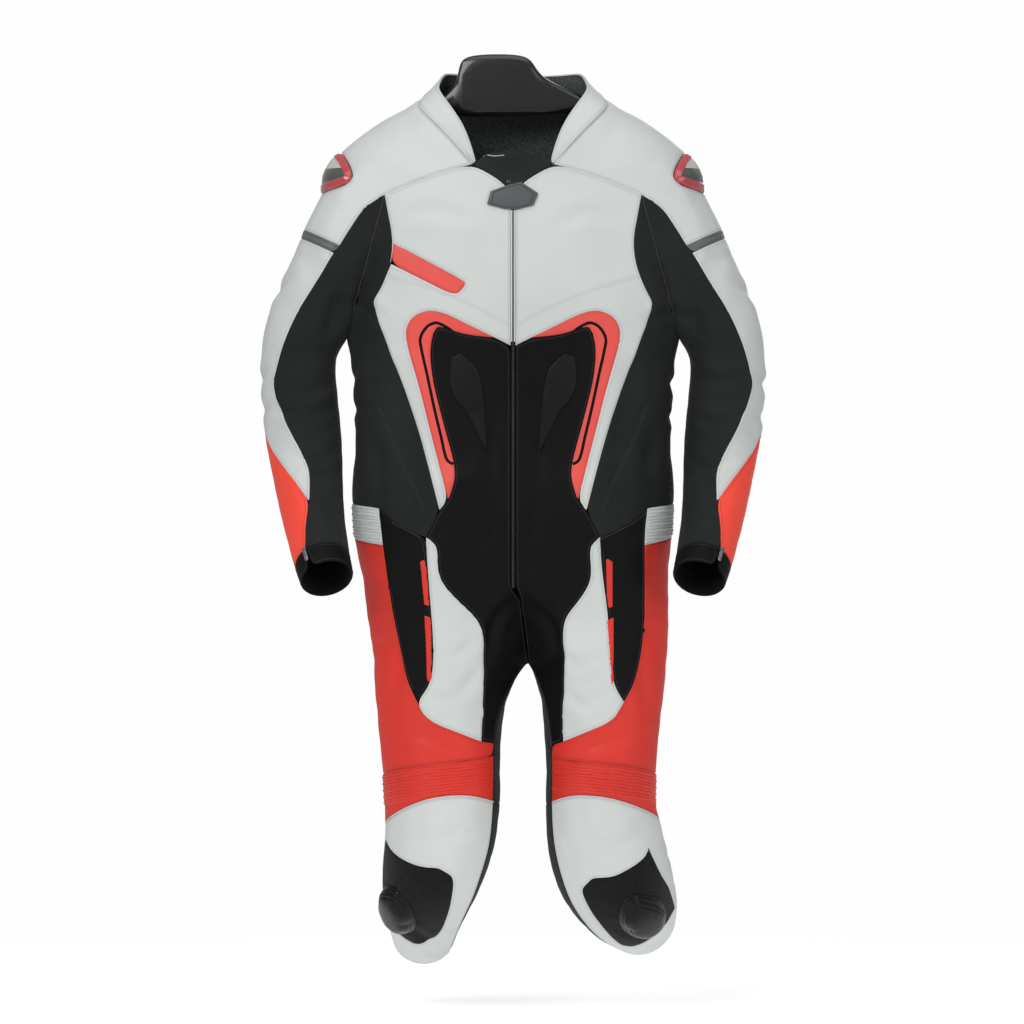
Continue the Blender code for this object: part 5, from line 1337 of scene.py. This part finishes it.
class RACESUIT_OT_trims(bpy.types.Operator):
    """Lay the thin lines and stripes on the fronts and thighs"""
    bl_idname = "race_suit.trims"
    bl_label = "Lines and stripes"

    def execute(self, context):
        for mark in ("r", "l"):
            turn = (lambda line: line) if mark == "r" else mirror_line
            tree = ground("bracket_" + mark, "front_lower_" + mark)
            line = band("bracket_line_" + mark, tree, turn(BRACKET_LINE), 2.7, 0.6)
            dress(line, MATERIALS["black"], "leather_black")
            tree = ground("thigh_panel_" + mark, "thigh_white_" + mark)
            for index, outline in enumerate(THIGH_STRIPES[mark]):
                stripe = filled("thigh_stripe_%s_%d" % (mark, index), tree, outline, 0.9)
                dress(stripe, MATERIALS["red"], "leather_red")
            self.tape("armhole_tape_" + mark, "sleeve_stretch_" + mark,
                      ["side_stretch_" + mark, "back_lower"])
        self.tape("seat_tape", "seat_leg_r", ["seat_leg_l", "front_lower_l"])
        self.tape("crotch_tape", "seat_leg_l", ["front_lower_l", "front_lower_r"])
        self.tape("collar_tape", "collar", ["shoulder_r", "shoulder_l", "back_upper", "chest_r",
                                            "chest_l"], "white", 0.0009, 0.0008)
        self.small_trims()
        return {"FINISHED"}

    def tape(self, name, node, others, finish="black", depth=0.0002, radius=0.0011):
        """Cord sewn under a seam, where one panel's edge meets some others."""
        points, normals, ring = RIMS[node]
        tree = ground(*others)
        line = points[ring]
        away = unit(np.cross(np.roll(line, -1, axis=0) - np.roll(line, 1, axis=0), normals[ring]))
        close = np.array([tree.find_nearest(Vector(p))[3] < 0.005 for p in line])
        line = line - normals[ring] * depth + away * 0.0003
        if close.all() or not close.any():
            return
        start = int(np.flatnonzero(~close)[0])
        order = np.roll(np.arange(len(line)), -start)
        runs, run = [], []
        for index in order:
            if close[index]:
                run.append(index)
            elif run:
                runs.append(run)
                run = []
        runs += [run] if run else []
        for number, run in enumerate(r for r in runs if len(r) > 5):
            cord = tube("%s_%d" % (name, number), line[run], radius)
            dress(cord, MATERIALS[finish + "_thread"], "leather_" + finish)

    def small_trims(self):
        """The line on the neck flap, the label in the neck, the cover's border and its ring."""
        flap = band("neck_flap_line", ground("neck_flap"), [(-47, -152), (-30, -156), (-13, -155)],
                    0.7, 0.5, 2.0)
        dress(flap, MATERIALS["white_thread"], "leather_white")
        label = filled("neck_label", ground("back_upper", "collar"),
                       [(-27.5, -75), (-20, -75), (-20, -80), (-27.5, -80)], 4.0, 1.5, 1.0)
        dress(label, MATERIALS["grey"], "band_grey")
        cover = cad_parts["zip_tab"].data
        points = points_of(cover) / MM
        tree = surface_tree(points_of(cover), faces_of(cover))
        middle = (points.min(axis=0) + points.max(axis=0)) / 2
        line = []
        for a, b in zip(COVER_BORDER, COVER_BORDER[1:] + COVER_BORDER[:1]):
            line += [np.array(a) + (np.array(b) - np.array(a)) * k / 8 for k in range(8)]
        line = np.array(line) * 0.85 + middle[[0, 2]] * 0.15
        where, face = onto(tree, line)
        border = tube("cover_border", where + face * 0.0001, 0.00055, closed=True)
        dress(border, MATERIALS["black_thread"], "leather_black")
        spot, face = onto(ground("neck_flap", "chest_r", "chest_l"), [(-6.5, -194.5)])
        deselect()
        bpy.ops.mesh.primitive_torus_add(major_segments=20, minor_segments=8, major_radius=0.0021,
                                         minor_radius=0.00055, location=(0, 0, 0),
                                         rotation=(math.pi / 2, 0, 0))
        ring = bpy.context.object
        ring.name = "cover_ring"
        bpy.ops.object.transform_apply(rotation=True)
        set_points(ring.data, points_of(ring.data) + spot[0] + face[0] * 0.0002)
        dress(ring, MATERIALS["metal"], "zip_metal")
        smooth(ring, 60.0)


# ---------------------------------------------------------------- stitching
class RACESUIT_OT_stitching(bpy.types.Operator):
    """Sew a row of stitches along the leather seams"""
    bl_idname = "race_suit.stitching"
    bl_label = "Stitching"

    THREADS = {"white": "white", "red": "red", "red_light": "red", "red_soft": "red",
               "black": "black", "grey": "black"}

    def template(self):
        """One stitch: a short spindle, thick in the middle, along X."""
        stitch = settings("stitch")
        deselect()
        bpy.ops.mesh.primitive_cylinder_add(vertices=4, radius=0.5, depth=1.0,
                                            end_fill_type="NOTHING", rotation=(0, math.pi / 2, 0))
        obj = bpy.context.object
        bpy.ops.object.transform_apply(rotation=True)
        in_edit_mode(obj, bpy.ops.mesh.edge_face_add)
        points = points_of(obj.data) * np.array([stitch.long, stitch.thick, stitch.thick])
        faces = [face for face in faces_of(obj.data) if len(face) == 4]
        bpy.data.objects.remove(obj, do_unlink=True)
        return points, faces

    def execute(self, context):
        rows = {"white": [], "red": [], "black": []}
        for finish, *skin in SEWN:
            rows[self.THREADS[finish]] += self.seam_rows(finish, *skin)
        for line, thread_colour, nodes in self.double_rows():
            middle, side = beside(line, 3.0)
            for shift in (-1.6, 1.6):
                where, face = onto(ground(*nodes), middle + side * shift)
                rows[thread_colour].append((where, face, False))
        for name, lines in rows.items():
            self.sew(name, lines)
        return {"FINISHED"}

    def seam_rows(self, finish, points, faces, normals, loops):
        """A line beside each rim of a panel, its normals, and whether it is closed."""
        inset, roll = settings("stitch").inset, settings("leather").roll
        tree = surface_tree(points, faces)
        rows = []
        for ring in loops:
            if len(ring) < 12:
                continue
            rim, out = points[ring], normals[ring]
            ahead = unit(np.roll(rim, -1, axis=0) - np.roll(rim, 1, axis=0))
            line = rim + unit(np.cross(out, ahead)) * inset + out * roll
            found = [tree.find_nearest(Vector(p)) for p in line]
            near = np.array([hit[0] for hit in found])
            face = np.array([hit[1] for hit in found])
            keep = np.linalg.norm(near - line, axis=1) < 0.0016
            if finish == "red_light":
                keep &= near[:, 2] > FOREARM_STITCH_END
            rows.append((near[keep] + face[keep] * 0.0001, face[keep], keep.all()))
        return rows

    def double_rows(self):
        """The stitched lines that are not seams: line, thread and the panels below."""
        out = []
        for mark in ("r", "l"):
            turn = (lambda line: line) if mark == "r" else mirror_line
            out += [(turn(CHEST_LINE), "white", ["chest_" + mark]),
                    (turn(SIDE_LINE), "black", ["side_stretch_" + mark]),
                    (turn(HIP_LINE), "black", ["side_stretch_" + mark, "thigh_panel_" + mark])]
        return out

    def sew(self, name, lines):
        """One piece of all stitches of a colour, evenly spaced along their lines."""
        stitch = settings("stitch")
        shape, faces = self.template()
        places, frames = [], []
        for line, normals, ring in lines:
            if ring:
                line, normals = np.vstack([line, line[:1]]), np.vstack([normals, normals[:1]])
            run = run_along(line)
            count = int(run[-1] / stitch.pitch)
            if count < 2:
                continue
            at = (np.arange(count) + 0.5) * run[-1] / count
            where, up = between(line, run, at), between(normals, run, at)
            ahead = unit(between(line, run, at + 0.0008) - between(line, run, at - 0.0008))
            side = unit(np.cross(up, ahead))
            whole = np.interp(at, run[1:], np.diff(run)) < 0.012    # not across a gap in the row
            places.append(where[whole])
            frames.append(np.stack([ahead, side, np.cross(ahead, side)], axis=1)[whole])
        places, frames = np.vstack(places), np.vstack(frames)
        points = np.einsum("kc,nca->nka", shape, frames) + places[:, None, :]
        size = len(shape)
        all_faces = (np.array(faces)[None] + np.arange(len(places))[:, None, None] * size)
        obj = mesh_object(name + "_stitching", points.reshape(-1, 3), all_faces.reshape(-1, 4))
        dress(obj, MATERIALS[name + "_thread"], "leather_" + name)


# ---------------------------------------------------------------- hard pieces
def swept_bar(name, line, face, profile, side=1):
    """A closed bar: a section (across and out, in mm) carried along a line on the front."""
    strip = np.stack([line + np.array([side * u * MM, 0, 0]) + face * v * MM
                      for u, v in profile], axis=1)
    rows, columns = len(line), len(profile)
    faces = grid_faces(rows, columns)
    faces += [(i * columns + columns - 1, (i + 1) * columns + columns - 1, (i + 1) * columns,
               i * columns) for i in range(rows - 1)]
    faces += [tuple(range(columns)),
              tuple(range(rows * columns - 1, (rows - 1) * columns - 1, -1))]
    obj = mesh_object(name, strip.reshape(-1, 3), faces)
    face_outward(obj)
    return obj


def solid_copy(node, name):
    """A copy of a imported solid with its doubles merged, ready to be worked on."""
    obj = new_object(name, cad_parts[node].data.copy())
    in_edit_mode(obj, bpy.ops.mesh.remove_doubles, threshold=1e-5)
    return obj


def round_edges(obj, width, angle, segments):
    mod = obj.modifiers.new("Bevel", "BEVEL")
    mod.width, mod.segments = width, segments
    mod.limit_method, mod.angle_limit = "ANGLE", math.radians(angle)
    apply_modifiers(obj)
    smooth(obj, 40.0)


class RACESUIT_OT_hanger(bpy.types.Operator):
    """Smooth the moulded hanger"""
    bl_idname = "race_suit.hanger"
    bl_label = "Hanger"

    def execute(self, context):
        obj = solid_copy("hanger", "moulded_hanger")
        in_edit_mode(obj, bpy.ops.mesh.tris_convert_to_quads, face_threshold=math.radians(60),
                     shape_threshold=math.radians(80))
        add_subdivision(obj, 2)
        apply_modifiers(obj)
        dress(obj, MATERIALS["hanger"], "hanger_black", "hanger")
        smooth(obj, 60.0)
        return {"FINISHED"}


class RACESUIT_OT_armour(bpy.types.Operator):
    """Build the shoulder sliders, knee sliders and abdomen pads"""
    bl_idname = "race_suit.armour"
    bl_label = "Armour"

    def execute(self, context):
        for mark in ("_r", "_l"):
            self.shoulder(mark)
            self.knee(mark)
            pad = solid_copy("abdomen_pad" + mark, "abdomen_pad_cover" + mark)
            self.crease_rim(pad, 0.75)
            add_subdivision(pad, 3)
            apply_modifiers(pad)
            # the pads' leather is the black leather lightened as painted sheen
            dress(pad, MATERIALS["pad_leather"], "leather_black", "abdomen_pad" + mark)
            smooth(pad, 50.0)
        return {"FINISHED"}

    def crease_rim(self, obj, weight):
        """Keep a solid's sharp edges from being smoothed away."""
        bm = bmesh.new()
        bm.from_mesh(obj.data)
        layer = bm.edges.layers.float.new("crease_edge")
        for edge in bm.edges:
            if len(edge.link_faces) == 2 and edge.calc_face_angle(0.0) > math.radians(50):
                edge[layer] = weight
        bm.to_mesh(obj.data)
        bm.free()

    def shell(self, node, name, kind, spread):
        """A smooth copy of a moulded shell, spread (mm) at its rim over the gap round it.

        Also gives its points, their normals, their distance from the rim in mm, and which of
        them are outside."""
        skin = outer_skin(node, SHELL_WALL, kind)
        tree = dense_rim(points_of(skin.data), rim_loops(skin.data))
        cover = surface_tree(points_of(skin.data), faces_of(skin.data))
        bpy.data.objects.remove(skin, do_unlink=True)
        obj = solid_copy(node, name)
        self.crease_rim(obj, 0.8)
        add_subdivision(obj, 2)
        even = obj.modifiers.new("Remesh", "REMESH")
        even.mode, even.voxel_size = "VOXEL", SHELL_VOXEL
        soft = obj.modifiers.new("Smooth", "SMOOTH")
        soft.factor, soft.iterations = 0.5, 70
        apply_modifiers(obj)
        points, normals = points_of(obj.data), normals_of(obj.data)
        away = gaps_to(tree, points) / MM
        facing = np.array([tuple(cover.find_nearest(Vector(p))[1]) for p in points])
        outer = (normals * facing).sum(axis=1) > 0
        middle = points[outer].mean(axis=0)
        axis = unit(normals[outer].mean(axis=0))
        run = points - middle
        run = unit(run - (run @ axis)[:, None] * axis)
        points = points + run * (spread * MM * (1 - soft_step(away, 0.0, 6.0)))[:, None]
        return obj, points, normals, away, outer

    def shoulder(self, mark):
        """Red slider with a step round its edge and a sunk window, the window's upper half painted
        light as a painted glint.
        """
        obj, points, normals, away, outer = self.shell(
            "shoulder_slider" + mark, "shoulder_shell" + mark, "arm", 0.6)
        shift = (1.5 * soft_step(away, 1.5, 4.5)
                 - 1.9 * soft_step(away, WINDOW_EDGE - 1, WINDOW_EDGE + 1))
        set_points(obj.data, points + normals * (shift * outer * MM)[:, None])
        obj.data.materials.clear()
        for finish in ("slider", "window", "glint"):
            obj.data.materials.append(MATERIALS[finish])
        inside = points[(away > WINDOW_EDGE) & outer]
        # window faces above this level get the light grey, a painted glint; those below keep the
        # window's dark colour
        level = inside[:, 2].mean() + 0.003
        for face in obj.data.polygons:
            corner = list(face.vertices)
            if away[corner].mean() > WINDOW_EDGE and outer[corner].all():
                face.material_index = 2 if face.center.z > level else 1
        dress(obj, None, "slider_red", "shoulder_slider" + mark)
        smooth(obj, 60.0)

    def knee(self, mark):
        """Black knee slider: a flange, a step, and grooves across its crown."""
        obj, points, normals, away, outer = self.shell(
            "knee_puck" + mark, "knee_shell" + mark, "leg", 3.2)
        shift = 1.4 * soft_step(away, 3.0, 7.0)
        for groove in (9.5, 17.5):
            shift -= 0.9 * np.exp(-((away - groove) / 1.1) ** 2)
        set_points(obj.data, points + normals * (shift * outer * MM)[:, None])
        dress(obj, MATERIALS["puck"], "puck_black", "knee_puck" + mark)
        smooth(obj, 60.0)


class RACESUIT_OT_zips(bpy.types.Operator):
    """Build the front zip, its cover and the cuff zips"""
    bl_idname = "race_suit.zips"
    bl_label = "Zips"

    def execute(self, context):
        cover = solid_copy("zip_tab", "zip_cover")
        round_edges(cover, 0.0009, 50.0, 3)
        dress(cover, MATERIALS["tab"], "leather_black", "zip_tab")
        for mark in ("_r", "_l"):
            for base, name, body in (("cuff_slider", "cuff_zip_body", SUIT),
                                     ("cuff_pull", "cuff_zip_pull", "cuff_pull" + mark)):
                obj = solid_copy(base + mark, name + mark)
                round_edges(obj, 0.00025, 35.0, 2)
                dress(obj, MATERIALS["metal"], "zip_metal", base + mark, body=body)
        self.front_zip()
        return {"FINISHED"}

    def front_line(self):
        """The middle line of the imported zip's front, from top to bottom."""
        points = points_of(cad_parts["zip_teeth"].data)
        middle = points[np.abs(points[:, 0]) < 0.0004]
        middle = middle[np.argsort(-middle[:, 2])]
        line = []
        for z in np.unique(np.round(middle[:, 2], 4))[::-1]:
            same = middle[np.abs(middle[:, 2] - z) < 6e-5]
            front = same[np.argmin(same[:, 1])]
            if not line or line[-1][2] - front[2] > 0.002:
                line.append(front)
        line = np.array(line)
        line = line[np.concatenate([[True], np.abs(np.diff(line[:, 1])) < 0.02])]
        return curve_through(line, 0.0022)

    def front_zip(self):
        """The tape, the turned-in leather edges beside the teeth, and the teeth."""
        line = self.front_line()
        face = unit(np.stack([0 * line[:, 0], -np.gradient(line[:, 2]), np.gradient(line[:, 1])],
                             axis=1))
        face[face[:, 1] > 0] *= -1
        tape = swept_bar("zip_tape", line, face, TAPE_SECTION)
        dress(tape, MATERIALS["dark_metal"], "zip_metal", "zip_teeth")
        smooth(tape, 40.0)
        for name, finish, part in (
                ("zip_guard_chest", "white", line[:, 2] >= ZIP_CHEST_END),
                ("zip_guard_lower", "black", line[:, 2] < ZIP_CHEST_END + 0.0025)):
            for side, mark in ((-1, "_r"), (1, "_l")):
                edge = swept_bar(name + mark, line[part], face[part], EDGE_SECTION, side)
                dress(edge, MATERIALS[finish], SLOTS[finish])
                smooth(edge, 60.0)
        self.teeth(line, face)

    def teeth(self, line, face):
        """Two rows of moulded teeth that mesh in the middle."""
        deselect()
        bpy.ops.mesh.primitive_cube_add(size=1.0)
        block = bpy.context.object
        block.data.transform(Matrix.Diagonal((0.0017, 0.0007, 0.0011, 1)))
        round_edges(block, 0.0002, 35.0, 1)
        shape, faces = points_of(block.data), faces_of(block.data)
        bpy.data.objects.remove(block, do_unlink=True)
        points, all_faces = [], []
        keep = line[:, 2] < ZIP_TEETH_TOP
        for index, (place, out) in enumerate(zip(line[keep], face[keep])):
            side = -1 if index % 2 else 1
            base = len(points)
            centre = place + np.array([side * 0.00045, 0, 0]) - out * 0.0002
            points += [centre + p[0] * np.array([1.0, 0, 0]) + p[1] * out
                       + p[2] * np.array([0, out[2], -out[1]]) for p in shape]
            all_faces += [tuple(base + i for i in f) for f in faces]
        obj = mesh_object("zip_teeth_rows", points, all_faces)
        face_outward(obj)
        dress(obj, MATERIALS["dark_metal"], "zip_metal")


# ---------------------------------------------------------------- stage
class RACESUIT_OT_stage(bpy.types.Operator):
    """Set up the floor, the soft lights and the camera"""
    bl_idname = "race_suit.stage"
    bl_label = "Stage"

    def execute(self, context):
        stage = settings("stage")
        scene = context.scene
        scene.view_settings.view_transform = "Standard"
        self.floor(CAD_BOX[0][2] - 0.06)
        self.backdrop()
        world = bpy.data.worlds.new("studio")
        scene.world = world
        world.use_nodes = True
        sky = world.node_tree.nodes["Background"].inputs
        sky["Color"].default_value, sky["Strength"].default_value = (1, 1, 1, 1), 0.37
        for name, place, size, share in (
                ("key", (-1.8, -3.2, 1.3), 2.4, 1.0), ("fill", (2.6, -2.8, 0.2), 2.6, 0.42),
                ("top", (0.2, -0.9, 2.4), 2.4, 0.26), ("rear", (0.5, 3.4, 0.3), 2.4, 0.3)):
            light = bpy.data.lights.new(name, "AREA")
            light.size, light.energy = size, stage.key * share
            obj = new_object(name, light)
            obj.location = place
            aim = Vector((0, 0, -0.68)) - Vector(place)
            obj.rotation_euler = aim.to_track_quat("-Z", "Y").to_euler()
        camera = bpy.data.cameras.new("camera")
        camera.sensor_width = 36.0
        camera.lens = 36.0 * stage.away / stage.across
        camera.clip_end = 60.0
        view = new_object("camera", camera)
        view.location = (-0.0015, -stage.away, -0.679)
        view.rotation_euler = (math.pi / 2, 0, 0)
        scene.camera = view
        return {"FINISHED"}

    def floor(self, low):
        """A pale floor under the suit that fades out all round, and can't be seen from below."""
        stage = settings("stage")
        deselect()
        bpy.ops.mesh.primitive_circle_add(vertices=64, radius=stage.reach, fill_type="NGON",
                                          location=(0, 0, low))
        floor = bpy.context.object
        floor.name = "floor"
        bpy.ops.object.transform_apply(location=True)
        n = Nodes("pale floor")
        n.link(n.mixed(n.noise(1.5), shade(stage.floor, 0.98), stage.floor),
               n.shader.inputs["Base Color"])
        n.set(Roughness=0.9, Specular_IOR_Level=0.1, Emission_Color=(1, 1, 1, 1),
              Emission_Strength=0.55)
        flat = n.add("ShaderNodeVectorMath", operation="MULTIPLY")
        n.link(n.place, flat.inputs[0])
        flat.inputs[1].default_value = (1, 1, 0)
        away = n.add("ShaderNodeVectorMath", operation="LENGTH")
        n.link(flat.outputs[0], away.inputs[0])
        fade = n.ranged(away.outputs["Value"], 0.25 * stage.reach, 0.85 * stage.reach, 0.0, 1.0)
        under = n.add("ShaderNodeNewGeometry").outputs["Backfacing"]
        mix = n.add("ShaderNodeMixShader")
        n.link(n.times(fade, under, "MAXIMUM"), mix.inputs[0])
        n.link(n.shader.outputs[0], mix.inputs[1])
        n.link(n.add("ShaderNodeBsdfTransparent").outputs[0], mix.inputs[2])
        n.link(mix.outputs[0], n.tree.nodes["Material Output"].inputs["Surface"])
        floor.data.materials.append(n.material)

    def backdrop(self):
        """A white dome that only the camera sees, so that it adds no light."""
        deselect()
        bpy.ops.mesh.primitive_uv_sphere_add(segments=48, ring_count=24, radius=25.0)
        dome = bpy.context.object
        dome.name = "backdrop"
        dome.data.flip_normals()
        n = Nodes("white backdrop")
        n.link(n.mixed(n.noise(0.05), (0.98, 0.98, 0.98), (1.0, 1.0, 1.0)),
               n.shader.inputs["Emission Color"])
        n.set(Base_Color=(0, 0, 0, 1), Emission_Strength=1.0, Roughness=1.0, Specular_IOR_Level=0.0)
        dome.data.materials.append(n.material)
        for ray in ("diffuse", "glossy", "transmission", "volume_scatter", "shadow"):
            setattr(dome, "visible_" + ray, False)
        smooth(dome, 180.0)


# ---------------------------------------------------------------- add-on
OPERATORS = (RACESUIT_OT_panels, RACESUIT_OT_ribs, RACESUIT_OT_trims, RACESUIT_OT_stitching,
             RACESUIT_OT_hanger, RACESUIT_OT_armour, RACESUIT_OT_zips, RACESUIT_OT_stage)


class RACESUIT_PT_panel(bpy.types.Panel):
    """Sizes, colours and steps of the race suit"""
    bl_idname = "RACESUIT_PT_panel"
    bl_label = "Race Suit"
    bl_space_type = "VIEW_3D"
    bl_region_type = "UI"
    bl_category = "Race Suit"

    def draw(self, context):
        for name, group in GROUPS.items():
            box = self.layout.box()
            box.label(text=name.title())
            for key in group.__annotations__:
                box.prop(settings(name), key)
        for operator in OPERATORS:
            self.layout.operator(operator.bl_idname)


def register():
    for name, group in GROUPS.items():
        bpy.utils.register_class(group)
        setattr(bpy.types.Scene, "race_suit_" + name, PointerProperty(type=group))
    for operator in OPERATORS:
        bpy.utils.register_class(operator)
    bpy.utils.register_class(RACESUIT_PT_panel)


def unregister():
    bpy.utils.unregister_class(RACESUIT_PT_panel)
    for operator in reversed(OPERATORS):
        bpy.utils.unregister_class(operator)
    for name, group in GROUPS.items():
        delattr(bpy.types.Scene, "race_suit_" + name)
        bpy.utils.unregister_class(group)


def main():
    register()
    for operator in OPERATORS:
        group, name = operator.bl_idname.split(".")
        getattr(getattr(bpy.ops, group), name)()
    deselect()


if __name__ == "__main__":
    main()
